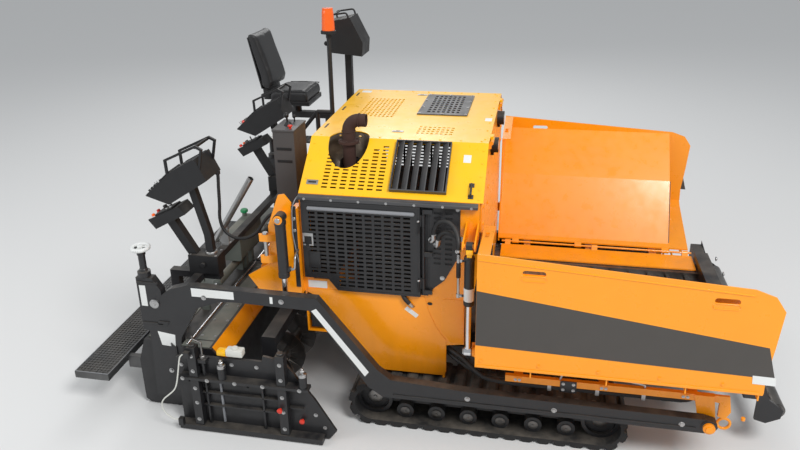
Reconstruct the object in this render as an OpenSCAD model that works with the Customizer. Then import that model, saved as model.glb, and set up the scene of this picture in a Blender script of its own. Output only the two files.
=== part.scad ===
// Tracked asphalt paver with a heated screed, folding hopper wings and two push rollers.
// X points forward, Y to the machine's left, Z up. The ground is Z = 0 and the origin is
// midway between the rear edge of the walkway and the front of the push rollers.
// Pieces that come in pairs are drawn on the right (-Y) and mirrored by sided().

/* [Whole machine] */
// Length from the rear edge of the walkway to the front of the push rollers
overall_length = 4920; // [4600:10:5400]
// Width over the outer faces of the two tow arms
arm_width = 2590; // [2500:10:2700]
// Distance that an open hopper wing stands out beyond the tow arm
wing_overhang = 195; // [150:5:240]

/* [Engine hood] */
// Length of the hood along the machine
hood_length = 1220; // [1100:10:1350]
// Distance from the origin forward to the hood's front edge
hood_front = 455; // [440:5:470]
// Width of the hood's flat top between the two creases
hood_top_width = 1360; // [1200:10:1500]
// Height of the flat top above the ground
hood_top = 1975; // [1900:5:2050]
// Height of the hood's lower edges above the ground
hood_edge = 1690; // [1660:5:1740]
// Thickness of the hood's sheet
hood_sheet = 6; // [4:1:10]

/* [Body] */
// Distance from a side plate out to the tow arm's outer face
body_inset = 255; // [240:5:280]
// Thickness of the side plates and walls
plate = 12; // [8:1:16]
// Height of the lower edge of the side plates
body_bottom = 370; // [365:5:400]
// Height of the top of the floor of the engine bay
bay_floor = 640; // [620:5:680]

/* [Engine doors] */
// Height of the lower edge of the mesh doors
door_bottom = 1000; // [980:5:1040]
// Height of the upper edge of the mesh doors
door_top = 1655; // [1600:5:1670]
// Length of a mesh door
door_length = 820; // [760:10:840]
// Thickness of a mesh door
door_sheet = 26; // [20:1:30]

/* [Tracks] */
// Width of a track shoe
shoe_width = 340; // [280:10:360]
// Height of the track over its shoes
track_height = 350; // [320:5:356]
// Distance between the sprocket and the idler
track_base = 1560; // [1400:10:1700]
// Clearance between a track and the tow arm beside it
track_clearance = 45; // [30:5:60]
// Number of shoes on each track
shoe_count = 36; // [28:2:44]
// Height of one shoe bar
shoe_height = 24; // [16:1:30]

/* [Hopper] */
// Height of the rear top corner of a wing
wing_top = 1559; // [1500:1:1620]
// Distance from the machine's middle to a wing's hinge
wing_hinge_y = 820; // [800:5:850]
// Height of a wing's hinge
wing_hinge_z = 560; // [550:5:580]
// Thickness of the wing plates
wing_plate = 12; // [8:1:16]
// Outer radius of a push roller
roller_radius = 55; // [45:1:65]
// Height of the push rollers' middle
roller_height = 320; // [300:5:360]

/* [Tow arms] */
// Thickness of a tow arm
arm_thick = 60; // [40:2:70]
// Distance from the push beam back to the tow arms' front pins
arm_pin_back = 240; // [220:5:300]
// Height of the tow arms' front pins
arm_pin_z = 372; // [360:2:380]
// Radius of the tow arms' front pins
arm_pin_r = 25; // [20:1:30]

/* [Screed] */
// Clearance between the main screed and each tow arm
screed_clearance = 15; // [10:1:25]
// Front to rear depth of the main screed
screed_depth = 390; // [340:5:420]
// Height of the main screed's top
screed_top = 560; // [520:5:590]
// Clearance between the ground and the lifted screed's plates
screed_lift = 12; // [8:1:20]
// Front to rear depth of a screed extension
extension_depth = 300; // [260:5:310]
// Depth of the walkway
walkway_depth = 270; // [220:5:300]
// Height of the walkway's top
walkway_height = 310; // [280:5:340]
// Thickness of the end gates
gate_thick = 20; // [12:1:24]
// Radius of the auger flights
auger_radius = 150; // [130:5:160]

/* [Hidden] */
$fn = 48;
gap = 0.3;
run = 6;
// How far a welded piece runs into the one that carries it
weld = 2;
right = 0;
left = 1;

yellow = [1.0, 0.78, 0.0];
orange = [1.0, 0.55, 0.0];
black = [0.1, 0.1, 0.11];
grey = [0.32, 0.33, 0.35];
steel = [0.7, 0.7, 0.72];
rust = [0.36, 0.2, 0.14];

half_length = overall_length / 2;
beam_front = half_length - 300;
arm_outer = arm_width / 2;
arm_inner = arm_outer - arm_thick;
arm_pin_x = beam_front - arm_pin_back;
wing_outer = arm_outer + wing_overhang;
body_half = arm_outer - body_inset;
track_gauge_half = arm_inner - track_clearance - shoe_width / 2;
hood_rear = hood_front - hood_length;
hood_width = 2 * body_half - 8;
hood_slope = atan2(hood_edge - hood_top, hood_width / 2 - hood_top_width / 2);

// Draws a right-hand piece, or its mirror image on the left
module sided(side) {
  mirror([0, side, 0]) children();
}

// Moves a right-hand piece that is symmetric about its own plane y to the left
module moved(side, y) {
  translate([0, -2 * side * y, 0]) children();
}

// Extrudes an outline drawn in X and Z between two values of Y
module across(y0, y1) {
  translate([0, y1, 0]) rotate([90, 0, 0]) linear_extrude(y1 - y0) children();
}

// Extrudes an outline drawn in Y and Z between two values of X
module along(x0, x1) {
  translate([x0, 0, 0]) rotate([90, 0, 90]) linear_extrude(x1 - x0) children();
}

module block(lo, hi) {
  translate(lo) cube(hi - lo);
}

module rod_y(x, z, y0, y1, r) {
  translate([x, y0, z]) rotate([-90, 0, 0]) cylinder(h = y1 - y0, r = r);
}

module rod_x(y, z, x0, x1, r) {
  translate([x0, y, z]) rotate([0, 90, 0]) cylinder(h = x1 - x0, r = r);
}

module rod_z(x, y, z0, z1, r) {
  translate([x, y, z0]) cylinder(h = z1 - z0, r = r);
}

// Round bar at one y between two points given as [x, z]
module slanted(y, from, to, r) {
  step = to - from;
  translate([from[0], y, from[1]]) rotate([0, atan2(step[0], step[1]), 0]) cylinder(h = norm(step), r = r);
}

// Tube swept along a route: each ring stands square to the line between the points beside its own
function unit(v) = v / norm(v);
function heading(route, i) = unit(route[min(i + 1, len(route) - 1)] - route[max(i - 1, 0)]);
function ring(centre, ahead, side, r, count) = [for (k = [0 : count - 1])
  centre + r * (cos(360 * k / count) * side + sin(360 * k / count) * cross(ahead, side))];
module tube(route, r, count = 8) {
  last = len(route) - 1;
  points = [for (i = [0 : last]) let (ahead = heading(route, i), side = unit(cross([0, 1, 0.001], ahead)))
    each ring(route[i], ahead, side, r, count)];
  walls = [for (i = [0 : last - 1], k = [0 : count - 1]) let (a = i * count, n = (k + 1) % count)
    each [[a + k, a + count + k, a + count + n], [a + k, a + count + n, a + n]]];
  ends = [[for (k = [0 : count - 1]) k], [for (k = [count - 1 : -1 : 0]) last * count + k]];
  polyhedron(points, concat(walls, ends));
}

// A slot with round ends, centred on the origin
module slot(length, width) {
  hull() for (s = [-1, 1]) translate([s * (length - width) / 2, 0]) circle(d = width, $fn = 12);
}

// Frame: side plates, engine bay floor, rear wall and outriggers, on two long box rails
side_inner = body_half - plate;
beam_y0 = 560;
beam_y1 = 690;
beam_top = 520;
beam_bottom = 390;
beam_rear = -700;
notch_x = 350;
notch_top = 1440;
body_front = hood_front - 20;
bay_x0 = hood_rear + 70;
bay_x1 = 20;

module side_outline() {
  polygon([[body_front, hood_edge - gap], [body_front, notch_top], [notch_x, notch_top - 60],
    [notch_x, 640], [230, 620], [230, body_bottom + 30], [200, body_bottom], [-245, body_bottom],
    [-330, 430], [-700, 930], [hood_rear, 960], [hood_rear, hood_edge - gap]]);
}

module frame() color(orange) {
  for (side = [right, left]) sided(side) {
    across(-body_half, -side_inner) difference() {
      side_outline();
      translate([bay_x0, door_bottom + 60]) square([bay_x1 - bay_x0, door_top - door_bottom - 110]);
    }
    // Outriggers between the rails and the side plates
    for (x = [-200, 140])
      block([x, -side_inner, body_bottom + 30], [x + 60, -beam_y1 - gap, beam_top - 30]);
  }
  block([hood_rear, -side_inner, bay_floor - plate], [notch_x, side_inner, bay_floor]);
  block([hood_rear, -side_inner, bay_floor], [hood_rear + plate, side_inner, hood_edge - gap]);
  // Gland of the conduit in the rear wall
  rod_x(conduit_y, conduit_end[1], conduit_end[0], hood_rear + weld, 18);
  // Brackets for the upper pins of the wing cylinders
  for (side = [right, left]) sided(side) wing_bracket();
}

// Rails along the machine, with the uprights that carry the bay floor
module chassis_rails() color(black) for (side = [right, left]) sided(side) {
  block([beam_rear, -beam_y1, beam_bottom], [beam_front, -beam_y0, beam_top]);
  for (x = [-500, 200]) block([x, -beam_y1, beam_top], [x + 80, -beam_y0, bay_floor - plate - gap]);
}

// Wing cylinders: upper pin on the body and lower pin on the wing
wing_cyl_x = 396;
wing_cyl_y = -body_half - 210;
wing_cyl_top = 1490;
wing_cyl_pin = 730;
wing_cyl_r = 32;
wing_barrel_length = 411;
wing_rod_r = 18;
cyl_pin_r = 15;

module wing_bracket() {
  for (x = [wing_cyl_x - 46, wing_cyl_x + 28]) difference() {
    along(x, x + 10) hull() {
      translate([wing_cyl_y, wing_cyl_top]) circle(r = 34);
      translate([-body_half, wing_cyl_top - 45]) square([1, 110]);
    }
    rod_x(wing_cyl_y, wing_cyl_top, x - 1, x + 11, cyl_pin_r);
  }
  rod_x(wing_cyl_y, wing_cyl_top, wing_cyl_x - 46, wing_cyl_x + 38, cyl_pin_r);
}

// Bulkhead behind the hopper, with the mouth of the conveyor tunnel and two work lamps
bulkhead_x = hood_front - 8;
bulkhead_half = 930;
tunnel_top = 900;

module bulkhead() color(orange) {
  difference() {
    along(bulkhead_x - plate, bulkhead_x) polygon([
      [-bulkhead_half, beam_top + gap], [bulkhead_half, beam_top + gap], [bulkhead_half, 1440],
      [side_inner - 14, notch_top + 40], [side_inner - 14, hood_edge - 8],
      [hood_top_width / 2 - 15, hood_top - 32], [15 - hood_top_width / 2, hood_top - 32],
      [14 - side_inner, hood_edge - 8], [14 - side_inner, notch_top + 40], [-bulkhead_half, 1440]]);
    block([bulkhead_x - plate - 1, -beam_y0 + 10, beam_top - 1],
      [bulkhead_x + 1, beam_y0 - 10, tunnel_top]);
  }
  // Lugs and pins of the hood's hinges
  for (y = hinge_y) {
    rod_y(hood_hinge_x, hood_hinge_z, y - 60, y + hinge_length + 60, hood_pin_r);
    for (s = [y - 60, y + hinge_length + 6]) {
      rod_y(hood_hinge_x, hood_hinge_z, s, s + 54, hood_knuckle_r);
      block([bulkhead_x, s, hood_hinge_z - 40], [hood_hinge_x, s + 54, hood_hinge_z - 6]);
    }
  }
  for (y = [-350, 350]) {
    rod_x(y, 1860, bulkhead_x, bulkhead_x + 50, 52);
    block([bulkhead_x, y - 12, 1790], [bulkhead_x + 12, y + 12, 1820]);
  }
}

// Engine, as one plain block on the bay floor
engine_top = 1420;
module engine_block() color(grey) {
  block([-560, -330, bay_floor + gap], [160, 330, engine_top]);
}

// Hood: one folded sheet hinged along its front edge
hood_hinge_x = hood_front + 11;
hood_hinge_z = hood_top - 30;
hood_pin_r = 8;
hood_knuckle_r = 14;
hinge_y = [-530, 470];
hinge_length = 60;
louvre_x0 = -158;
louvre_x1 = 215;
louvre_v0 = 20;
louvre_v1 = 410;
exhaust_x = -495;
exhaust_y = -700;

module hood_section(shrink) {
  polygon([[-hood_width / 2 + shrink, hood_edge], [-hood_top_width / 2 + shrink * 0.6, hood_top - shrink],
    [hood_top_width / 2 - shrink * 0.6, hood_top - shrink], [hood_width / 2 - shrink, hood_edge]]);
}

// Places children on the right slope: X along the machine, Y down the slope, Z outwards
module on_slope() {
  translate([0, -hood_top_width / 2, hood_top]) mirror([0, 1, 0]) rotate([hood_slope, 0, 0])
    children();
}

// The slot field, column by column: X of the column, first row that the exhaust hole leaves
slot_pitch_x = 62;
slot_pitch_y = 28;
slot_rows = 13;
slot_first = [0, 2, 5, 5, 4, 1, 0];

module hood_shell() color(yellow) {
  difference() {
    along(hood_rear, hood_front) hood_section(0);
    along(hood_rear + hood_sheet, hood_front + 1) translate([0, -0.01]) hood_section(hood_sheet);
    // Exhaust opening, longer down the slope
    translate([exhaust_x, exhaust_y, hood_top - 260]) scale([1, 1.25, 1])
      cylinder(h = 300, r = 140, $fn = 40);
    // Louvre opening
    on_slope() translate([louvre_x0 + 8, louvre_v0 + 8, -20])
      cube([louvre_x1 - louvre_x0 - 16, louvre_v1 - louvre_v0 - 16, 40]);
    // Slot field below the exhaust
    on_slope() for (i = [0 : len(slot_first) - 1], j = [slot_first[i] : slot_rows - 1])
      translate([-600 + i * slot_pitch_x, 65 + j * slot_pitch_y, 0])
        cube([40, 12, 40], center = true);
    // Square-hole grille over the radiator on the flat top
    for (i = [0 : 8], j = [0 : 11])
      translate([-570 + i * 32, -130 + j * 46, hood_top]) cube([18, 26, 40], center = true);
    // Opening below the bolted grille plate
    block([grille_x0 + 30, grille_y0 + 30, hood_top - 40], [grille_x1 - 30, grille_y1 - 30, hood_top + 1]);
    // Small field of slots
    for (i = [0 : 7], j = [0 : 3])
      translate([-50 + i * 33, -520 + j * 50, hood_top]) cube([20, 24, 40], center = true);
  }
  // Hinge knuckles in front of the bulkhead
  for (y = hinge_y) difference() {
    union() {
      block([hood_front - 9, y, hood_top - 13], [hood_hinge_x + 8, y + hinge_length, hood_top]);
      block([hood_front + 1, y, hood_hinge_z], [hood_hinge_x + 8, y + hinge_length, hood_top - 12]);
      rod_y(hood_hinge_x, hood_hinge_z, y, y + hinge_length, hood_knuckle_r);
    }
    rod_y(hood_hinge_x, hood_hinge_z, y - 1, y + hinge_length + 1, hood_pin_r + gap);
  }
}

// Louvre box: a frame with six vanes that run down the slope
vane_count = 6;
module louvre_box() on_slope() {
  vane_pitch = (louvre_x1 - louvre_x0 - 16) / vane_count;
  difference() {
    translate([louvre_x0, louvre_v0, gap]) cube([louvre_x1 - louvre_x0, louvre_v1 - louvre_v0, 30]);
    translate([louvre_x0 + 8, louvre_v0 + 8, -1])
      cube([louvre_x1 - louvre_x0 - 16, louvre_v1 - louvre_v0 - 16, 40]);
  }
  for (i = [0 : vane_count - 1]) translate([louvre_x0 + 14 + i * vane_pitch, louvre_v0 + 6, 1])
    rotate([-90, 0, 0]) mirror([0, 1, 0]) linear_extrude(louvre_v1 - louvre_v0 - 12)
      polygon([[0, 0], [4, 0], [vane_pitch * 0.72, 26], [vane_pitch * 0.72 - 6, 28]]);
}

// Bolted grille plate on the flat top
grille_x0 = -135;
grille_x1 = 245;
grille_y0 = -54;
grille_y1 = 550;
module grille_plate() difference() {
  block([grille_x0, grille_y0, hood_top + gap], [grille_x1, grille_y1, hood_top + 8]);
  for (i = [0 : 6], j = [0 : 8])
    translate([grille_x0 + 80 + i * 37, grille_y0 + 70 + j * 58, hood_top]) cube([22, 34, 40], center = true);
}

module hood_grilles() color(grey) {
  louvre_box();
  grille_plate();
}

// Exhaust: stub from the engine bay, flange and an open elbow that points forward
exhaust_r = 44;
exhaust_bend = 75;
exhaust_top = 2105;
silencer_z = 1530;
silencer_r = 95;
module exhaust() color(rust) {
  difference() {
    union() {
      rod_z(exhaust_x, exhaust_y, silencer_z, exhaust_top - exhaust_bend, exhaust_r);
      translate([exhaust_x + exhaust_bend, exhaust_y, exhaust_top - exhaust_bend]) rotate([90, 0, 0])
        rotate([0, 0, 90]) rotate_extrude(angle = 90) translate([exhaust_bend, 0]) circle(r = exhaust_r);
      rod_x(exhaust_y, exhaust_top, exhaust_x + exhaust_bend, exhaust_x + exhaust_bend + 50, exhaust_r);
      rod_z(exhaust_x, exhaust_y, 1945, 1963, 72);
    }
    rod_x(exhaust_y, exhaust_top, exhaust_x + exhaust_bend - 10, exhaust_x + exhaust_bend + 51, exhaust_r - 5);
  }
  // Silencer across the bay, with the strap that stands on the engine block
  rod_y(exhaust_x, silencer_z, exhaust_y - 90, exhaust_y + 520, silencer_r);
  block([exhaust_x - 30, -320, engine_top + gap], [exhaust_x + 30, -240, silencer_z - silencer_r + 6]);
}

// Mesh doors on both sides of the engine bay, hinged at their front edges
door_hinge_x = 75;
door_y0 = -body_half - run - door_sheet;
door_hinge_y = door_y0 + door_sheet / 2;
hinge_r = 9;
mesh_pitch_x = 64;
mesh_pitch_z = 31;
module door_outline() {
  polygon([[door_hinge_x - 20, door_bottom], [-515, door_bottom], [-580, door_bottom + 85],
    [door_hinge_x - door_length, door_bottom + 85], [door_hinge_x - door_length, door_top],
    [door_hinge_x - 20, door_top]]);
}
module engine_door(side) color(black) sided(side) {
  difference() {
    across(door_y0, door_y0 + door_sheet) door_outline();
    for (i = [0 : 10], j = [0 : 17])
      if (i > 2 || j > 2)
        translate([-672 + i * mesh_pitch_x, door_y0 + 4, door_bottom + 40 + j * mesh_pitch_z])
          cube([46, 20, 16], center = true);
    across(door_y0 + 8, door_y0 + door_sheet + 1) offset(delta = -24) door_outline();
  }
  // Hinge knuckles with their pin
  for (z = [door_bottom + 60, door_top - 140])
    difference() {
      union() {
        rod_z(door_hinge_x, door_hinge_y, z, z + 80, hinge_r + 4);
        block([door_hinge_x - 24, door_hinge_y - 5, z], [door_hinge_x, door_hinge_y + 5, z + 80]);
      }
      rod_z(door_hinge_x, door_hinge_y, z - 1, z + 81, hinge_r + gap);
    }
}
module engine_door_right() engine_door(right);
module engine_door_left() engine_door(left);

// Black vent plates in front of the doors, with the hinge rods of the doors
vent_x0 = 105;
vent_x1 = 313;
module vent_plates() color(black) for (side = [right, left]) sided(side) {
  difference() {
    across(-body_half - 6, -body_half - gap) polygon([[vent_x0, door_top + 20], [vent_x1, door_top + 20],
      [vent_x1, 1320], [215, 1127], [vent_x0, 1027]]);
    for (i = [0 : 1], j = [0 : 10])
      translate([165 + i * 75, -body_half, 1250 + j * 36]) cube([46, 30, 16], center = true);
  }
  rod_z(door_hinge_x, door_hinge_y, door_bottom + 20, door_top - 20, hinge_r);
  for (z = [door_bottom + 20, door_bottom + 300, door_top - 50])
    block([door_hinge_x, door_hinge_y - 6, z], [vent_x0 + 30, door_hinge_y + 6, z + 30]);
  for (z = [door_bottom + 40, door_bottom + 300, door_top - 50])
    block([vent_x0 + 10, door_hinge_y + 6, z], [vent_x0 + 30, -body_half - gap, z + 20]);
}

// Lift towers: plates that stand off the rear corners and carry the screed lift cylinders
tower_y = -body_half - 60;
tower_plate = 14;
tower_in = 40 - body_half;
lug_pin_x = -990;
// Lower and upper face of each lug
lug_levels = [[1200, 1252], [1360, 1410]];
lift_x = -849;
lift_y = -arm_inner + 45;
lift_top = 1569;
lift_pin_z = 985;
lift_cyl_r = 36;
lift_barrel_length = 429;
lift_rod_r = 20;
lift_eye_r = 17;
module lift_towers() color(orange) for (side = [right, left]) sided(side) {
  across(tower_y, tower_y + tower_plate) polygon([[-800, 1640], [-845, 1698], [-885, 1690],
    [-971, 1463], [-971, 1188], [-1146, 1078], [-1062, 955], [-800, 955]]);
  // Lugs outside the plate, with the pin that locks the raised screed
  for (z = lug_levels) translate([lug_pin_x, tower_y, z[0]]) linear_extrude(z[1] - z[0])
    polygon([[-38, -34], [20, -34], [80, weld], [-10, weld], [-48, -14]]);
  rod_z(lug_pin_x, tower_y - 17, lug_levels[0][1] - weld, lug_levels[1][0] + weld, 14);
  across(tower_y + tower_plate, -body_half) polygon([[-780, 1600], [-765, 1600], [-765, 960], [-800, 960],
    [-800, 1600]]);
  block([hood_rear - 35, tower_y, 960], [hood_rear - gap, tower_in + weld, 1600]);
  // Inner plate and the shelf between the two
  across(tower_in, tower_in + tower_plate) polygon([[hood_rear - gap, 1560], [-885, 1560], [-1100, 1078],
    [-1040, 955], [hood_rear - gap, 955]]);
  block([-1040, tower_y, 955], [hood_rear - gap, tower_in + weld, 967]);
  rod_y(lift_x, lift_top, lift_y - 38, tower_y, 20);
  rod_y(lift_x, lift_top, lift_y - 44, lift_y - 36, 30);
}

// Tracks: one closed loop each, with its shoes in the outline
track_rear_x = -270;
track_front_x = track_rear_x + track_base;
track_r = track_height / 2;
belt = 22;
track_facets = 36;
shoe_path = 2 * track_base + 2 * PI * (track_r - shoe_height);
module stadium(r) {
  hull() for (x = [track_rear_x, track_front_x]) translate([x, track_r]) circle(r = r, $fn = track_facets);
}
// Place and turn of a shoe, from the length of the path up to it
module on_path(s) {
  r = track_r - shoe_height;
  arc = PI * r;
  if (s < track_base) translate([track_rear_x + s, track_r - r]) rotate(180) children();
  else if (s < track_base + arc) translate([track_front_x, track_r])
    rotate((s - track_base) / arc * 180 - 180) translate([0, r]) children();
  else if (s < 2 * track_base + arc)
    translate([track_front_x - (s - track_base - arc), track_r + r]) children();
  else translate([track_rear_x, track_r])
    rotate((s - 2 * track_base - arc) / arc * 180) translate([0, r]) children();
}
module track(side) color(grey) sided(side)
  across(-track_gauge_half - shoe_width / 2, -track_gauge_half + shoe_width / 2) {
    difference() {
      stadium(track_r - shoe_height);
      stadium(track_r - shoe_height - belt);
    }
    for (i = [0 : shoe_count - 1]) on_path((i + 0.5) * shoe_path / shoe_count)
      polygon([[-40, -8], [40, -8], [40, shoe_height - 10], [22, shoe_height], [-22, shoe_height],
        [-40, shoe_height - 10]]);
  }
module track_right() track(right);
module track_left() track(left);

// Track frames with sprocket, idler and bottom rollers
wheel_r = (track_r - shoe_height - belt) * cos(180 / track_facets) - gap;
module track_frames() color(black) for (side = [right, left]) sided(side) {
  for (x = [track_rear_x, track_front_x]) difference() {
    rod_y(x, track_r, -track_gauge_half - 90, -track_gauge_half + 90, wheel_r);
    for (y = [-track_gauge_half - 91, -track_gauge_half + 61]) rod_y(x, track_r, y, y + 30, wheel_r - 25);
  }
  block([track_rear_x, -track_gauge_half - 60, track_r - 35],
    [track_front_x, -track_gauge_half + 60, track_r + 45]);
  for (i = [1 : 6]) {
    x = track_rear_x + i * track_base / 7;
    rod_y(x, 46.3 + 60, -track_gauge_half - 110, -track_gauge_half + 110, 60);
  }
  // Cross tubes into the long members
  for (x = [0, 900]) block([x, -track_gauge_half + 60, track_r - 30], [x + 110, -beam_y0, track_r + 40]);
  for (x = [0, 900]) block([x, -beam_y1, track_r + 40], [x + 110, -beam_y0, beam_bottom]);
}

// Conveyor: floor plate with two lanes of slats between three chain covers
conveyor_rear = -860;
conveyor_front = beam_front - gap;
floor_z = 470;
slat_pitch = 150;
module conveyor() color(steel) {
  block([conveyor_rear, -beam_y0 + gap, floor_z - 10], [conveyor_front, beam_y0 - gap, floor_z]);
  block([conveyor_rear, -30, floor_z], [conveyor_front, 30, floor_z + 45]);
  for (y = [-beam_y0 + gap, beam_y0 - 40 - gap])
    block([conveyor_rear, y, floor_z], [conveyor_front, y + 40, floor_z + 45]);
  for (x = [conveyor_rear + 60 : slat_pitch : conveyor_front - 40], y = [-beam_y0 + 40, 30])
    block([x, y, floor_z], [x + 28, y + beam_y0 - 70, floor_z + 20]);
}

// Hopper frame: fixed aprons beside the conveyor, sills, outriggers and the arms' front brackets
sill_y0 = -arm_inner + 15;
sill_y1 = sill_y0 + 30;
sill_z0 = 507;
sill_z1 = 554;
sill_rear = 645;
sill_front = arm_pin_x + 30;
hinge_rear = 500;
hinge_front = beam_front - 10;
module hopper_frame() color(orange) {
  for (side = [right, left]) sided(side) {
    block([sill_rear, sill_y0, sill_z0], [sill_front, sill_y1, sill_z1]);
    for (x = [sill_rear + 55, 1250, sill_front - 150])
      block([x, sill_y1, beam_top - 13], [x + 60, -beam_y1, beam_top + 12]);
    along(hinge_rear, hinge_front) polygon([[-beam_y1, beam_top], [-beam_y0, beam_top],
      [-beam_y0, beam_top + 12], [-790, 545], [-790, 520], [-beam_y1, 520]]);
    // Hinge knuckles and the hinge rod of the wing
    rod_x(-wing_hinge_y, wing_hinge_z, hinge_rear, hinge_front, 9);
    for (x = [hinge_rear + 30, 1300, hinge_front - 80]) {
      rod_x(-wing_hinge_y, wing_hinge_z, x, x + 50, 17);
      along(x, x + 50) polygon([[-wing_hinge_y - 12, wing_hinge_z - 10], [-790, 520], [-780, 520],
        [-780, 544], [-wing_hinge_y + 12, wing_hinge_z + 10]]);
    }
    // Front bracket and pin of the tow arm
    rod_y(arm_pin_x, arm_pin_z, sill_y0 - 8, sill_y1, 55);
    across(sill_y0 - 8, sill_y0) polygon([[arm_pin_x - 54, arm_pin_z], [arm_pin_x + 54, arm_pin_z],
      [arm_pin_x + 25, sill_z1], [arm_pin_x - 95, sill_z1]]);
    rod_y(arm_pin_x, arm_pin_z, -arm_outer - 14, sill_y0, arm_pin_r);
    rod_y(arm_pin_x, arm_pin_z, -arm_outer - 22, -arm_outer - 7, arm_pin_r + 12);
    // Tie-down bracket with its ring
    translate([sill_front, 0]) across(sill_y0 + 6, sill_y1 - 6) polygon([[0, sill_z1], [90, sill_z1],
      [110, 440], [80, 380], [35, 400], [35, 500], [0, sill_z0]]);
    translate([sill_front + 80, (sill_y0 + sill_y1) / 2, 345]) rotate([90, 0, 0])
      rotate_extrude() translate([38, 0]) circle(r = 9, $fn = 16);
  }
}

// Hopper wings: outer side plate, sloped liner and rear end plate, hinged along X
wing_rear = 463;
wing_low = 783;
wing_lip_y = wing_outer - 90;
module wing_side_outline() {
  difference() {
    polygon([[wing_rear, wing_low], [wing_rear, wing_top], [beam_front - 167, wing_top - 98],
      [beam_front - 57, wing_top - 137], [beam_front, wing_top - 220], [beam_front - 17, 1102],
      [beam_front - 37, 902], [beam_front - 33, 800], [beam_front - 37, wing_low]]);
    translate([wing_rear + 330, wing_top - 100]) slot(136, 34);
    translate([beam_front - 307, wing_top - 180]) slot(136, 34);
  }
}
module wing(side) color(orange) sided(side) {
  across(-wing_outer, -wing_outer + wing_plate) wing_side_outline();
  // Lower lip and floor down to the hinge
  along(wing_rear, beam_front - 37) polygon([[-wing_outer, wing_low], [-wing_lip_y, 746], [-870, 584],
    [-wing_hinge_y - 20, 574], [-wing_hinge_y - 20, 586], [-870, 596], [-wing_lip_y, 758],
    [-wing_outer + wing_plate, wing_low + 12], [-wing_outer + wing_plate, wing_low]]);
  // Sloped liner
  along(wing_rear + wing_plate, beam_front - 197) polygon([[-wing_outer + wing_plate, wing_top - 110],
    [-wing_outer + wing_plate, wing_top - 125], [-1190, 1090], [-900, 593], [-885, 593], [-1176, 1092]]);
  // Rear end plate, with its top flange
  along(wing_rear, wing_rear + wing_plate) polygon([[-wing_outer + wing_plate, wing_top - 4],
    [-945, 1500], [-945, 900], [-wing_hinge_y - 25, 600], [-wing_hinge_y - 25, 545], [-1300, 665],
    [-wing_lip_y, 746], [-wing_outer + wing_plate, wing_low]]);
  difference() {
    along(wing_rear, wing_rear + 72) polygon([[-wing_outer + wing_plate, wing_top - 4], [-945, 1500],
      [-945, 1492], [-wing_outer + wing_plate, wing_top - 14]]);
    translate([wing_rear + 30, -1130, 1500]) cube([26, 90, 90], center = true);
  }
  // Knuckles round the hinge rod
  for (x = [wing_rear + 130, 1150, beam_front - 260]) difference() {
    along(x, x + 60) hull() {
      translate([-wing_hinge_y, wing_hinge_z]) circle(r = 17);
      translate([-wing_hinge_y - 40, 582]) square([20, 8]);
    }
    rod_x(-wing_hinge_y, wing_hinge_z, x - 1, x + 61, 9 + gap);
  }
  // Lug beside the eye of the cylinder's rod
  rod_x(wing_cyl_y, wing_cyl_pin, wing_cyl_x + 30, wing_rear, 30);
}
module wing_right() wing(right);
module wing_left() wing(left);

line_x = 328;
line_top = 1432;
line_bottom = 1140;
module barrel_line() {
  rod_z(line_x, wing_cyl_y, line_bottom - 8, line_top, 8);
  rod_z(line_x, wing_cyl_y, 1270, 1370, 13);
  rod_z(line_x, wing_cyl_y, 1390, line_top, 11);
  for (z = [line_bottom, 1386]) rod_x(wing_cyl_y, z, line_x, wing_cyl_x - wing_cyl_r + 5, 8);
}

module wing_barrel(side) color(black) moved(side, wing_cyl_y) {
  if (side == right) barrel_line();
  difference() {
    union() {
      rod_z(wing_cyl_x, wing_cyl_y, wing_cyl_top - wing_barrel_length, wing_cyl_top - 72, wing_cyl_r);
      rod_x(wing_cyl_y, wing_cyl_top, wing_cyl_x - 22, wing_cyl_x + 18, 28);
      rod_z(wing_cyl_x, wing_cyl_y, wing_cyl_top - 74, wing_cyl_top - 20, wing_rod_r);
    }
    rod_x(wing_cyl_y, wing_cyl_top, wing_cyl_x - 40, wing_cyl_x + 40, cyl_pin_r + gap);
    rod_z(wing_cyl_x, wing_cyl_y, wing_cyl_top - wing_barrel_length - 1, wing_cyl_top - 90, wing_rod_r + gap);
  }
}
// The rigid oil line stands beside the right barrel
module wing_barrel_right() wing_barrel(right);
module wing_barrel_left() wing_barrel(left);

module wing_rod(side) color(steel) moved(side, wing_cyl_y) {
  rod_z(wing_cyl_x, wing_cyl_y, wing_cyl_pin + 20, wing_cyl_top - 330, wing_rod_r);
  rod_x(wing_cyl_y, wing_cyl_pin, wing_cyl_x - 22, wing_cyl_x + 22, 30);
}
module wing_rod_right() wing_rod(right);
module wing_rod_left() wing_rod(left);

// Push beam across the front ends of the long members, with the roller brackets
roller_x = half_length - roller_radius;
roller_in = 250;
roller_out = 990;
module push_beam() color(black) {
  block([beam_front, -760, 380], [beam_front + 110, 760, 600]);
  for (y = [-roller_out - 30, -roller_in + 10, roller_in - 30, roller_out + 10])
    across(y, y + 20) polygon([[beam_front + 110 - weld, 600], [beam_front + 110 - weld, 260],
      [beam_front + 180, 240], [roller_x + 20, 285], [roller_x + 30, 350], [beam_front + 180, 420]]);
  block([beam_front + 20, -roller_out - 30, 420], [beam_front + 110, roller_out + 30, 560]);
  for (side = [right, left]) sided(side) rod_y(roller_x, roller_height, -roller_out - 30, -roller_in + 30, 14);
}
module push_roller(side) color(steel) sided(side) difference() {
  rod_y(roller_x, roller_height, -roller_out + 4, -roller_in - 4, roller_radius);
  rod_y(roller_x, roller_height, -roller_out, -roller_in, 14 + gap);
}
module push_roller_right() push_roller(right);
module push_roller_left() push_roller(left);

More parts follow.
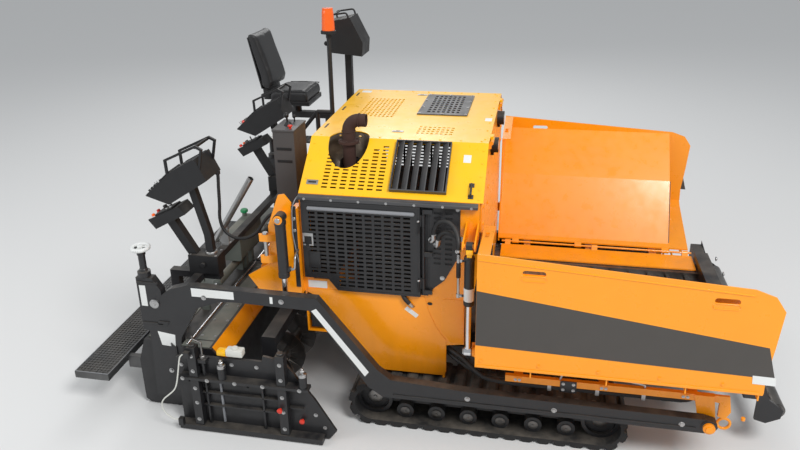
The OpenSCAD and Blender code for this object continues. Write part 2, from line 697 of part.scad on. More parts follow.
// Auger frame: beam behind the rear wall, middle gearbox and outer hangers
auger_x = -1010;
auger_z = 290;
auger_end = 1150;
auger_shaft = 36;
module auger_frame() color(black) {
  block([-1010, -60, 330], [conveyor_rear - gap, 60, 640]);
  rod_y(auger_x, auger_z, -55, 55, 95);
  for (y = [-500, 488]) block([-1010, y, 560], [hood_rear - gap, y + 12, 760]);
  block([-1060, -auger_end - 30, 560], [-960, auger_end + 30, 640]);
  for (y = [-auger_end - 30, auger_end + 10]) difference() {
    across(y, y + 20) hull() {
      translate([auger_x, auger_z]) circle(r = 60);
      translate([auger_x - 50, 630]) square([100, 10]);
    }
    rod_y(auger_x, auger_z, y - 1, y + 21, auger_shaft + gap);
  }
}

// Auger: shaft with a helical flight, drawn as a thin sector that turns along the shaft
auger_turns = 4;
auger_steps = 14;
auger_y0 = -70;
auger_run = auger_end - 30 + auger_y0;
// Angle that a flight 12 mm thick fills in a cross section
flight_angle = 12 / auger_run * auger_turns * 360;
module auger(side) color(steel) sided(side) {
  rod_y(auger_x, auger_z, -auger_end - 26, -56, auger_shaft);
  translate([auger_x, auger_y0, auger_z]) rotate([90, 0, 0])
    linear_extrude(auger_run, twist = 360 * auger_turns, slices = auger_turns * auger_steps, segments = 3)
      polygon([[0, 0], [auger_radius, 0],
        [auger_radius * cos(flight_angle), auger_radius * sin(flight_angle)]]);
}
module auger_right() auger(right);
module auger_left() auger(left);

// Tow arms: cranked plates from the front pins over the extensions to the screed
module arm_outline() {
  difference() {
    polygon([[-1521, 1066], [-601, 1050], [-204, 544], [-115, 474], [405, 442],
      [arm_pin_x - 28, arm_pin_z + 52], [arm_pin_x + 45, arm_pin_z + 32], [arm_pin_x + 55, arm_pin_z],
      [arm_pin_x + 35, arm_pin_z - 42], [arm_pin_x - 20, arm_pin_z - 50], [-170, arm_pin_z - 42],
      [-270, 400], [-610, 920], [-660, 957], [-1182, 969], [-1300, 960], [-1461, 895], [-1604, 650],
      [-1612, 612], [-1625, 140], [-1860, 140], [-1842, 678], [-1714, 975], [-1640, 1030]]);
    translate([arm_pin_x, arm_pin_z]) circle(r = arm_pin_r + gap);
  }
}
module tow_arms() color(black) for (side = [right, left]) sided(side) {
  across(-arm_outer, -arm_inner) arm_outline();
  rod_y(lift_x + 4, lift_pin_z, -arm_inner, lift_y + 24, lift_eye_r - 5);
}

module lift_barrel(side) color(black) moved(side, lift_y) difference() {
  union() {
    rod_z(lift_x, lift_y, lift_top - lift_barrel_length, lift_top - 20, lift_cyl_r);
    rod_y(lift_x, lift_top, lift_y - 34, lift_y + 36, 36);
  }
  rod_y(lift_x, lift_top, lift_y - 60, lift_y + 60, 20 + gap);
  rod_z(lift_x, lift_y, lift_top - lift_barrel_length - 1, lift_top - 70, lift_rod_r + gap);
}
module lift_barrel_right() lift_barrel(right);
module lift_barrel_left() lift_barrel(left);

module lift_rod(side) color(steel) moved(side, lift_y) difference() {
  union() {
    rod_z(lift_x, lift_y, lift_pin_z + 10, lift_top - 220, lift_rod_r);
    rod_y(lift_x, lift_pin_z, lift_y - 18, lift_y + 18, 26);
  }
  rod_y(lift_x + 4, lift_pin_z, lift_y - 30, lift_y + 30, lift_eye_r);
}
module lift_rod_right() lift_rod(right);
module lift_rod_left() lift_rod(left);

// Main screed: plate, box body, end plates and the cross beam that carries the consoles
screed_rear = -2000;
screed_front = screed_rear + screed_depth;
screed_half = arm_inner - screed_clearance;
screed_wall = 14;
module screed_outline() {
  polygon([[screed_rear, screed_lift + 30], [screed_rear + 40, screed_lift],
    [screed_front, screed_lift], [screed_front, screed_top], [screed_rear + 60, screed_top],
    [screed_rear, screed_top - 180]]);
}
module main_screed() color(black) {
  along_y = arm_inner - gap;
  across(-screed_half, screed_half) difference() {
    screed_outline();
    offset(delta = -screed_wall) screed_outline();
  }
  for (y = [-along_y, -600, 586, screed_half]) across(y, y + screed_wall + 0.7) difference() {
    screed_outline();
    translate([screed_rear + 200, 300]) circle(r = 70);
  }
  for (side = [right, left]) sided(side) {
    // Uprights and the console beam
    block([-1760, -1060, screed_top], [-1700, -1000, 1000]);
    block([-1760, -1060, 1000], [-1380, -1000, 1048]);
  }
  block([-1560, -along_y, 1000], [-1500, along_y, 1048]);
  // Wear strips that the extensions slide on
  for (z = [120, 440]) block([screed_front, -screed_half, z], [ext_rear - gap, screed_half, z + 40]);
}

// Depth cranks on the rear plates of the tow arms
crank_x = -1780;
module depth_cranks() color(black) for (side = [right, left]) sided(side) {
  rod_z(crank_x - 55, -arm_outer + 30, 1000, 1310, 24);
  across(-arm_outer, -arm_inner) polygon([[-1888, 690], [-1842 - gap, 678 - gap], [-1714 - gap, 975],
    [-1714 - gap, 1010], [-1770, 1100], [-1888, 1100]]);
  translate([crank_x - 55, -arm_outer + 30, 1315]) rotate_extrude() translate([55, 0]) circle(r = 14, $fn = 16);
  block([crank_x - 55 - 52, -arm_outer + 24, 1306], [crank_x - 55 + 52, -arm_outer + 36, 1318]);
}

// Screed consoles: base box, bent post with its tilted box and loop, and a second box on an arm
console_y = -1020;
console_left_shift = -460;
loop_bar = 16;
module console_loop() {
  polygon([[-1650, 1775], [-1655, 1905], [-1420, 2015], [-1370, 1990], [-1400, 1850]]);
}
module screed_console() {
  block([-1595, console_y - 60, 1048 + gap], [-1375, console_y + 60, 1186]);
  across(console_y - 24, console_y + 24) polygon([[-1470, 1186], [-1418, 1186], [-1421, 1335],
    [-1505, 1700], [-1555, 1690], [-1473, 1330]]);
  across(console_y - 110, console_y + 120) polygon([[-1821, 1640], [-1654, 1585], [-1363, 1771],
    [-1433, 1920], [-1629, 1812]]);
  for (y = [console_y - 108, console_y + 102]) across(y, y + loop_bar) difference() {
    console_loop();
    offset(delta = -loop_bar) console_loop();
  }
  block([-1436, console_y - 100, 1990], [-1420, console_y + 110, 2006]);
  across(console_y - 35, console_y + 25) polygon([[-1595, 1170], [-1535, 1186], [-1680, 1450], [-1735, 1420]]);
  across(console_y - 70, console_y + 80) polygon([[-1854, 1442], [-1803, 1375], [-1570, 1500],
    [-1617, 1555]]);
}
module screed_consoles() color(black) {
  screed_console();
  // Gland of the conduit below the right console
  rod_z(conduit_top[0], conduit_y, conduit_top[1], conduit_top[1] + 24, 18);
  translate([0, console_left_shift, 0]) sided(left) screed_console();
}

// Water tank behind the console beam, on its feet, with the filler cap
tank_rear = -1735;
tank_front = -1575;
tank_bottom = 720;
tank_top = 950;
module screed_tank() color(grey) {
  across(-260, 200) offset(r = 25, $fn = 12)
    translate([tank_rear + 25, tank_bottom + 25])
      square([tank_front - tank_rear - 50, tank_top - tank_bottom - 50]);
  for (y = [-80, 40])
    block([tank_rear + 20, y, screed_top + gap], [tank_front - 40, y + 40, tank_bottom + weld]);
  rod_z(-1700, 155, tank_top - weld, 985, 20);
  rod_z(-1700, 155, 985 - weld, 1008, 28);
}

// Cylinders across the top of the main screed, each between two brackets
screed_cyl_x = -1670;
screed_cyl_z = 664;
module screed_cylinders() color(grey) for (side = [right, left]) sided(side) {
  rod_y(screed_cyl_x, screed_cyl_z, -550, -112, 34);
  rod_y(screed_cyl_x, screed_cyl_z, -760, -550 + weld, 16);
  for (y = [-780, -114])
    block([screed_cyl_x - 30, y, screed_top + gap], [screed_cyl_x + 30, y + 24, screed_cyl_z + 30]);
}

// Open steel socket for a pole, on a foot and a web on the console beam
pole_y = -600;
pole_foot = [-1612, 1075];
pole_tip = [-1280, 1600];
pole_r = 24;
module pole_socket() color(steel) {
  difference() {
    slanted(pole_y, pole_foot, pole_tip, pole_r);
    slanted(pole_y, pole_foot - [4, 6], pole_tip + [4, 6], pole_r - 3);
  }
  across(pole_y - 6, pole_y + 6) polygon([[-1560, 1048 + gap], [-1505, 1048 + gap],
    [pole_foot[0] + 111, pole_foot[1] + 133], [pole_foot[0] + 31, pole_foot[1] + 7]]);
  block([-1560, pole_y - 30, 1048 + gap], [-1500, pole_y + 30, 1056]);
}

// Walkway: framed treadplate on brackets behind the screed
walk_half = arm_outer + 70;
walk_front = -half_length + walkway_depth;
module walkway() color(grey) {
  block([-half_length, -walk_half, walkway_height - 50], [walk_front, walk_half, walkway_height]);
  for (y = [-1100, -400, 360, 1060]) block([walk_front, y, 200], [screed_rear, y + 40, walkway_height - 10]);
}

// Screed extensions in front of the main screed, each sliding out under its tow arm
ext_rear = screed_front + run;
ext_front = ext_rear + extension_depth;
ext_top = 600;
ext_out = arm_outer + 35;
ext_in = 8;
module extension_outline() {
  polygon([[ext_rear, screed_lift], [ext_front - 60, screed_lift], [ext_front, screed_lift + 60],
    [ext_front, ext_top - 90], [ext_front - 70, ext_top], [ext_rear, ext_top]]);
}
module extension(side) color(black) sided(side) {
  across(-ext_out, -ext_in) difference() {
    extension_outline();
    offset(delta = -screed_wall) extension_outline();
  }
  for (y = [-ext_out, -ext_out / 2]) across(y, y + screed_wall) extension_outline();
}
module extension_right() extension(right);
module extension_left() extension(left);

// End gates on the outer ends of the extensions
gate_y = -ext_out - 70;
gate_out = gate_y - 70;
module end_gate(side) color(black) sided(side) {
  across(gate_y, gate_y + gate_thick) polygon([[-1610, screed_lift], [-530, screed_lift], [-478, 80],
    [-617, 320], [-827, 611], [-970, 634], [-980, 590], [-1550, 580], [-1610, 560]]);
  block([-1580, gate_y + gate_thick - weld, 100], [-1330, -ext_out, 520]);
  block([-1570, gate_out, 430], [-640, gate_y + weld, 450]);
  block([-1610, gate_out, screed_lift], [-560, gate_y + weld, 50]);
  for (x = [gate_post_rear, -860]) block([x, gate_out + 10, 50 - weld], [x + 60, gate_y + weld, 685]);
  for (x = [-1258, -681]) rod_z(x, gate_out + 30, 450 - weld, 540, 28);
  if (side == right) gate_plugs();
}
// Plugs that hold the two ends of the gate's sensor cable
gate_post_rear = -1490;
plug_x = [gate_post_rear - 10, -1606];
module gate_plugs() {
  block([plug_x[0], gate_cable_y - 11, 618], [plug_x[0] + 40, gate_out + 10 + weld, 662]);
  block([plug_x[1], gate_cable_y - 11, 48], [plug_x[1] + 34, gate_out + 10 + weld, 106]);
}
module end_gate_right() end_gate(right);
module end_gate_left() end_gate(left);

// Operator deck behind the hood, with rail and beacon pole
deck_top = 1250;
deck_in = body_half - 80;
seat_arm_z = 1560;
rail_x = [-1174, -1035];
rail_y = 750;
rail_r = 20;
rail_top = 1740;
foot_plate_z = 1440;
module operator_deck() color(black) {
  translate([0, 0, deck_top - 40]) linear_extrude(40) polygon([[-1260, -250], [hood_rear - 60, -250],
    [hood_rear - 60, deck_in], [-1160, deck_in], [-1160, deck_in + 182], [-930, deck_in + 182],
    [-930, deck_in + 380], [-1260, deck_in + 380]]);
  for (y = [-150, deck_in - 60]) {
    block([hood_rear - 60 - weld, y, 1100], [hood_rear - gap, y + 60, deck_top]);
    block([-1100, y, 1100], [hood_rear - 60, y + 60, deck_top - 40 + weld]);
  }
  // Rail with its posts and the slanted bar down to the foot plate
  rod_z(rail_x[0], rail_y, deck_top - weld, rail_top, rail_r);
  rod_z(rail_x[1], rail_y, deck_top - weld, 2440, rail_r);
  rod_x(rail_y, rail_top, rail_x[0], rail_x[1], rail_r);
  slanted(rail_y, [-1420, foot_plate_z + 6], [rail_x[0], rail_top], rail_r - 2);
  block([-1440, rail_y - 5, foot_plate_z], [-1150, rail_y + 180, foot_plate_z + 12]);
  rod_z(-1230, rail_y + 100, deck_top - weld, foot_plate_z + weld, 16);
  // Post and arm that carry the seat
  block([-1250, seat_y - 35, deck_top - weld], [-1190, seat_y + 35, seat_arm_z]);
  block([seat_x - 45, seat_y - 35, seat_arm_z - 20], [-1190, seat_y + 35, seat_arm_z + 40]);
}

module control_cabinet() color(grey) {
  block([-1230, -230, deck_top], [-1060, 60, 1860]);
  block([-1240, 120, deck_top], [-1080, 400, 1450]);
}

module driver_console() color(black) {
  block([-1010, deck_in + 190, deck_top + gap], [-950, deck_in + 250, 2225]);
  across(deck_in, deck_in + 280)
    polygon([[-1105, 2230], [-800, 2200], [-790, 2320], [-900, 2540], [-1100, 2500]]);
}

// Routes of the hoses and cables, as points [x, y, z], or [x, z] in a plane of their own
conduit_y = -935;
conduit_r = 12;
conduit_top = [-1372, 1752];
conduit_end = [-785, 1505];
conduit_route = [[-1372, 1751.7], [-1372, 1724], [-1378, 1640], [-1381, 1575], [-1385, 1510], [-1392, 1450],
  [-1392, 1400], [-1380, 1350], [-1352, 1308], [-1311, 1282], [-1262, 1272], [-1210, 1280], [-1160, 1303],
  [-1120, 1337], [-1088, 1380], [-1058, 1425], [-1022, 1465], [-975, 1490], [-920, 1502], [-855, 1505],
  [-785.3, 1505]];
module console_conduit() color(black) tube([for (p = conduit_route) [p[0], conduit_y, p[1]]], conduit_r);

gate_cable_y = -1480;
gate_cable_route = [[-1500.3, 640], [-1512, 640], [-1530, 620], [-1538, 596], [-1545, 566], [-1553, 530],
  [-1561, 492], [-1570, 452], [-1580, 412], [-1592, 375], [-1610, 342], [-1636, 314], [-1664, 288],
  [-1692, 262], [-1714, 230], [-1722, 194], [-1714, 158], [-1694, 126], [-1664, 104], [-1638, 92],
  [-1606.3, 92]];
module gate_cable() color(steel) tube([for (p = gate_cable_route) [p[0], gate_cable_y, p[1]]], 5);

// Hoses from the vent plate to the right wing cylinder's line and to its bracket
cylinder_hose_routes = [
  [[125, -1046.3, 1420], [125, -1070, 1420], [130, -1088, 1424], [143, -1096, 1440], [150, -1098, 1468],
    [150, -1100, 1500], [160, -1104, 1535], [180, -1112, 1568], [212, -1124, 1588], [250, -1142, 1590],
    [284, -1168, 1574], [308, -1198, 1545], [322, -1228, 1508], [327, -1244, 1475], [328, -1250, 1448]],
  [[160, -1046.3, 1388], [160, -1070, 1388], [164, -1086, 1392], [172, -1092, 1406], [176, -1094, 1430],
    [180, -1097, 1455], [192, -1103, 1482], [215, -1112, 1503], [245, -1124, 1512], [280, -1136, 1506],
    [312, -1146, 1494], [330, -1150, 1486], [349.7, -1150, 1486]]];
module cylinder_hoses() color(black) for (route = cylinder_hose_routes) tube(route, 15, 10);

// Hoses under the right sill, from the engine bay's floor to the frame's rail, and their clips
sill_hose_y = [-1200, -1168];
sill_hose_z = [485, 490];
sill_hose_r = [16, 12];
sill_hose_routes = [
  [[215, -985, 627.7], [215, -985, 604], [236, -998, 577], [290, -1035, 560], [350, -1078, 550],
    [420, -1140, 528], [500, -1186, 500], [600, -1200, 487], [700, -1200, 485], [1700, -1200, 485],
    [1760, -1196, 484], [1806, -1178, 481], [1838, -1146, 477], [1850, -1100, 472], [1852, -1000, 466],
    [1852, -850, 459], [1852, -720, 455], [1852, -690.3, 455]],
  [[180, -970, 627.7], [180, -970, 590], [212, -984, 549], [275, -1030, 526], [345, -1080, 512],
    [420, -1122, 497], [500, -1152, 491], [600, -1168, 490], [700, -1168, 490], [1690, -1168, 490],
    [1740, -1164, 489], [1776, -1148, 486], [1800, -1118, 482], [1812, -1080, 478], [1815, -980, 474],
    [1815, -850, 469], [1815, -720, 465], [1815, -690.3, 465]]];
module sill_hoses() color(black) for (i = [0, 1]) tube(sill_hose_routes[i], sill_hose_r[i], 10);

module hose_clips() color(steel) for (x = [921, 1225, 1513]) difference() {
  block([x, sill_hose_y[0] - 20, 466], [x + 24, sill_hose_y[1] + 18, sill_z0 - gap]);
  for (i = [0, 1]) rod_x(sill_hose_y[i], sill_hose_z[i], x - 1, x + 25, sill_hose_r[i] + gap);
}

module beacon() color("orange") {
  rod_z(rail_x[1], rail_y, 2440, 2460, 62);
  translate([rail_x[1], rail_y, 2460]) cylinder(h = 190, r1 = 55, r2 = 46);
}

// Seat on its swivel pedestal
seat_x = -1540;
seat_y = deck_in + 295;
module seat_frame() color(black) {
  rod_z(seat_x, seat_y, seat_arm_z + 40 + gap, 1702, 45);
  block([seat_x - 190, seat_y - 200, 1700], [seat_x + 190, seat_y + 200, 1716]);
}
module seat_cushion() color([0.05, 0.05, 0.05]) {
  hull() {
    block([seat_x - 210, seat_y - 235, 1730], [seat_x + 200, seat_y + 235, 1840]);
    block([seat_x - 200, seat_y - 225, 1716 + gap], [seat_x + 190, seat_y + 225, 1740]);
  }
  across(seat_y - 230, seat_y + 230) polygon([[seat_x - 160, 1840], [seat_x - 290, 2370],
    [seat_x - 380, 2382], [seat_x - 260, 1800], [seat_x - 210, 1790], [seat_x - 210, 1840]]);
}

frame();
chassis_rails();
bulkhead();
engine_block();
hood_shell();
hood_grilles();
exhaust();
engine_door_right();
engine_door_left();
vent_plates();
lift_towers();
track_right();
track_left();
track_frames();
conveyor();
hopper_frame();
wing_right();
wing_left();
wing_barrel_right();
wing_barrel_left();
wing_rod_right();
wing_rod_left();
push_beam();
push_roller_right();
push_roller_left();
auger_frame();
auger_right();
auger_left();
tow_arms();
lift_barrel_right();
lift_barrel_left();
lift_rod_right();
lift_rod_left();
main_screed();
depth_cranks();
screed_consoles();
walkway();
extension_right();
extension_left();
end_gate_right();
end_gate_left();
operator_deck();
control_cabinet();
driver_console();
beacon();
seat_frame();
seat_cushion();
screed_tank();
screed_cylinders();
pole_socket();
console_conduit();
gate_cable();
cylinder_hoses();
sill_hoses();
hose_clips();
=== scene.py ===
# %% [markdown]
# # A tracked asphalt paver
#
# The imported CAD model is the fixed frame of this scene. Every piece made here sits on that frame, in
# metres, and rides on one of its bodies, so that it follows when a joint moves.

# %% Load the frame
import math
import bpy
import bmesh
from mathutils import Matrix, Vector


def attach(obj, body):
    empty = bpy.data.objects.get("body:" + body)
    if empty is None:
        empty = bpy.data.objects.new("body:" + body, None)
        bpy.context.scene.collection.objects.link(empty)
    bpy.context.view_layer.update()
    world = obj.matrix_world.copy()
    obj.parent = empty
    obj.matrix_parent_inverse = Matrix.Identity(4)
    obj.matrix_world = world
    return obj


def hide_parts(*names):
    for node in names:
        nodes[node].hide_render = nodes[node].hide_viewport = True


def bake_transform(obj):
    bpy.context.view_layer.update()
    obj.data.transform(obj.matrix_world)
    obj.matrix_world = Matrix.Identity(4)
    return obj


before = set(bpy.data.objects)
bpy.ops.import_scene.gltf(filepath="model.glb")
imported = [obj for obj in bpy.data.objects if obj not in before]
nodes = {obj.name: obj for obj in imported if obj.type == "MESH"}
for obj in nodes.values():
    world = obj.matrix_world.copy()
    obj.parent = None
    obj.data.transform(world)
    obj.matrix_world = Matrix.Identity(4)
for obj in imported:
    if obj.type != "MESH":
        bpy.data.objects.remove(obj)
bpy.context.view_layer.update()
scene = bpy.context.scene

# %% [markdown]
# ## The camera
#
# The photograph was taken from a height of about 3.5 m, well to the machine's right. Its place, turn and
# lens were solved from points whose real places are known. A small lens shift keeps the uprights nearly
# parallel, as they are in the picture.

# %% Camera
CAMERA_PLACE = Vector((0.7627, -5.2711, 3.4591))
CAMERA_YAW, CAMERA_PITCH, CAMERA_ROLL = math.radians(-11.2309), math.radians(21.1935), math.radians(-0.9275)
FOCAL_PIXELS, IMAGE_WIDTH = 724.58, 800


def camera_axes(yaw, pitch, roll):
    forward = Vector((math.sin(yaw) * math.cos(pitch), math.cos(yaw) * math.cos(pitch), -math.sin(pitch)))
    level = Vector((math.cos(yaw), -math.sin(yaw), 0))
    up = level.cross(forward)
    right = math.cos(roll) * level + math.sin(roll) * up
    return right, -math.sin(roll) * level + math.cos(roll) * up, forward


camera_data = bpy.data.cameras.new("camera")
camera = bpy.data.objects.new("camera", camera_data)
scene.collection.objects.link(camera)
right, up, forward = camera_axes(CAMERA_YAW, CAMERA_PITCH, CAMERA_ROLL)
camera.matrix_world = Matrix.Translation(CAMERA_PLACE) @ Matrix((right, up, -forward)).transposed().to_4x4()
camera_data.sensor_width = 36
camera_data.lens = 36 * FOCAL_PIXELS / IMAGE_WIDTH
camera_data.shift_y = -0.05
scene.camera = camera
scene.view_settings.view_transform = "Standard"
print("lens", round(camera_data.lens, 2), "mm")

# %% [markdown]
# ## Floor and light
#
# A plain pale floor, one broad lamp high to the front and two weaker ones keep the light soft. The world
# is brighter to the camera's eye than to the object, which Light Path's rays tell apart.

# %% Floor, lamps and world
def node_tree(material):
    material.use_nodes = True
    tree = material.node_tree
    tree.nodes.clear()
    return tree


def is_seen_ray(tree):
    """1 for rays that look straight at a surface, or by way of a mirror or a lens."""
    path = tree.nodes.new("ShaderNodeLightPath")
    first = tree.nodes.new("ShaderNodeMath")
    first.operation = "MAXIMUM"
    second = tree.nodes.new("ShaderNodeMath")
    second.operation = "MAXIMUM"
    tree.links.new(path.outputs["Is Camera Ray"], first.inputs[0])
    tree.links.new(path.outputs["Is Glossy Ray"], first.inputs[1])
    tree.links.new(first.outputs[0], second.inputs[0])
    tree.links.new(path.outputs["Is Transmission Ray"], second.inputs[1])
    return second.outputs[0]


def make_floor():
    mesh = bpy.data.meshes.new("floor")
    size = 300
    corners = [(-size, -size, 0), (size, -size, 0), (size, size, 0), (-size, size, 0)]
    mesh.from_pydata(corners, [], [(0, 1, 2, 3)])
    floor = bpy.data.objects.new("floor", mesh)
    scene.collection.objects.link(floor)
    material = bpy.data.materials.new("pale_floor")
    tree = node_tree(material)
    shader = tree.nodes.new("ShaderNodeBsdfDiffuse")
    shader.inputs["Color"].default_value = (0.70, 0.70, 0.69, 1)
    out = tree.nodes.new("ShaderNodeOutputMaterial")
    tree.links.new(shader.outputs[0], out.inputs["Surface"])
    mesh.materials.append(material)


def make_world():
    world = bpy.data.worlds.new("studio")
    scene.world = world
    world.use_nodes = True
    tree = world.node_tree
    tree.nodes.clear()
    light = tree.nodes.new("ShaderNodeBackground")
    light.inputs["Color"].default_value = (0.93, 0.96, 1.0, 1)
    light.inputs["Strength"].default_value = 0.58
    seen = tree.nodes.new("ShaderNodeBackground")
    seen.inputs["Color"].default_value = (0.42, 0.43, 0.44, 1)
    seen.inputs["Strength"].default_value = 1.0
    mix = tree.nodes.new("ShaderNodeMixShader")
    out = tree.nodes.new("ShaderNodeOutputWorld")
    tree.links.new(is_seen_ray(tree), mix.inputs[0])
    tree.links.new(light.outputs[0], mix.inputs[1])
    tree.links.new(seen.outputs[0], mix.inputs[2])
    tree.links.new(mix.outputs[0], out.inputs["Surface"])


def area_lamp(name, place, target, size, power):
    data = bpy.data.lights.new(name, "AREA")
    data.shape = "DISK"
    data.size = size
    data.energy = power
    lamp = bpy.data.objects.new(name, data)
    scene.collection.objects.link(lamp)
    lamp.location = place
    lamp.rotation_euler = (Vector(target) - Vector(place)).to_track_quat("-Z", "Y").to_euler()


make_floor()
make_world()
area_lamp("key", (4.5, -6.0, 8.5), (0, 0, 0.8), 3.5, 720)
area_lamp("fill", (-7.5, -4.0, 5.0), (0, 0, 1.0), 5.0, 180)
area_lamp("back", (-2.0, 8.0, 7.0), (0, 0, 1.0), 5.0, 200)

# %% [markdown]
# ## Finishes
#
# A painted machine that works with hot tar is never one flat colour. Each finish starts from its paint or
# metal and adds a slow drift of tone, grey dust on faces that look up, brown dirt low down and small
# scratches, with noise on Object coordinates so that it stays on the piece when a joint moves.

# %% A finish from a short table of numbers
class Graph:
    """Short words for the nodes that the finishes share."""

    def __init__(self, material):
        self.tree = node_tree(material)
        self.coords = self.add("ShaderNodeTexCoord").outputs["Object"]

    def add(self, kind, **settings):
        node = self.tree.nodes.new(kind)
        for key, value in settings.items():
            setattr(node, key, value)
        return node

    def link(self, source, target):
        self.tree.links.new(source, target)

    def noise(self, scale, detail=4, stretch=(1, 1, 1), roughness=0.6):
        mapping = self.add("ShaderNodeMapping")
        mapping.inputs["Scale"].default_value = stretch
        self.link(self.coords, mapping.inputs["Vector"])
        node = self.add("ShaderNodeTexNoise")
        node.inputs["Scale"].default_value = scale
        node.inputs["Detail"].default_value = detail
        node.inputs["Roughness"].default_value = roughness
        self.link(mapping.outputs[0], node.inputs["Vector"])
        return node.outputs["Fac"]

    def band(self, value, low, high, out_low=0.0, out_high=1.0):
        node = self.add("ShaderNodeMapRange")
        node.clamp = True
        ends = (("From Min", low), ("From Max", high), ("To Min", out_low), ("To Max", out_high))
        for socket, number in ends:
            node.inputs[socket].default_value = number
        self.link(value, node.inputs["Value"])
        return node.outputs[0]

    def times(self, a, b):
        node = self.add("ShaderNodeMath", operation="MULTIPLY")
        self.link(a, node.inputs[0])
        if isinstance(b, float):
            node.inputs[1].default_value = b
        else:
            self.link(b, node.inputs[1])
        return node.outputs[0]

    def blend(self, factor, a, b, mode="MIX"):
        node = self.add("ShaderNodeMix", data_type="RGBA", blend_type=mode)
        if isinstance(factor, float):
            node.inputs[0].default_value = factor
        else:
            self.link(factor, node.inputs[0])
        for socket, colour in ((6, a), (7, b)):
            if isinstance(colour, tuple):
                node.inputs[socket].default_value = (*colour[:3], 1)
            else:
                self.link(colour, node.inputs[socket])
        return node.outputs[2]

    def facing_up(self):
        normal = self.add("ShaderNodeNewGeometry").outputs["Normal"]
        split = self.add("ShaderNodeSeparateXYZ")
        self.link(normal, split.inputs[0])
        return self.band(split.outputs["Z"], 0.35, 0.95)

    def height(self, low, high):
        """1 below low, 0 above high, in metres from the ground."""
        split = self.add("ShaderNodeSeparateXYZ")
        self.link(self.coords, split.inputs[0])
        return self.band(split.outputs["Z"], low, high, 1.0, 0.0)


def srgb(r, g, b):
    return tuple(((v / 255 + 0.055) / 1.055) ** 2.4 if v > 10 else v / 255 / 12.92 for v in (r, g, b))


DUST = srgb(150, 140, 126)
TAR = srgb(24, 22, 22)


def finish(name, colour, rough=0.4, metal=0.0, coat=0.0, dust=0.15, dirt=0.3, drift=0.12, scratches=0.3,
           grain=(60, 0.02), dark=None, dirt_top=0.9):
    """Builds one material. dust lies on faces that look up, dirt rises from the ground to dirt_top."""
    material = bpy.data.materials.new(name)
    g = Graph(material)
    shader = g.add("ShaderNodeBsdfPrincipled")
    out = g.add("ShaderNodeOutputMaterial")
    shader.inputs["Metallic"].default_value = metal
    shader.inputs["Coat Weight"].default_value = coat
    shader.inputs["Coat Roughness"].default_value = 0.12
    shade = dark or tuple(v * 0.55 for v in colour)
    slow = g.band(g.noise(1.7, 5), 0.35, 0.7)
    tone = g.blend(g.times(slow, drift), colour, shade)
    speck = g.band(g.noise(38, 8, roughness=0.75), 0.62, 0.72)
    tone = g.blend(g.times(speck, scratches * 0.5), tone, shade)
    if dirt:
        low = g.height(0.1, dirt_top)
        streak = g.band(g.noise(9, 6, (1, 1, 0.25)), 0.35, 0.68)
        tone = g.blend(g.times(g.times(low, streak), dirt), tone, TAR)
    if dust:
        patch = g.band(g.noise(4.5, 7), 0.38, 0.72)
        tone = g.blend(g.times(g.times(g.facing_up(), patch), dust), tone, DUST)
    g.link(tone, shader.inputs["Base Color"])
    rough_noise = g.band(g.noise(11, 6), 0.3, 0.75, max(rough - 0.08, 0.03), min(rough + 0.16, 1.0))
    g.link(rough_noise, shader.inputs["Roughness"])
    bump = g.add("ShaderNodeBump")
    bump.inputs["Strength"].default_value = 0.5
    bump.inputs["Distance"].default_value = grain[1] * 0.01
    g.link(g.noise(grain[0], 5), bump.inputs["Height"])
    g.link(bump.outputs[0], shader.inputs["Normal"])
    g.link(shader.outputs[0], out.inputs["Surface"])
    return material


# %% [markdown]
# ### The paints, metals, rubbers and plastics
#
# The hood is a warm yellow, the body and the hopper an orange yellow, and what works near the mix is
# black. Bright metal is kept for rods, latches and fittings.

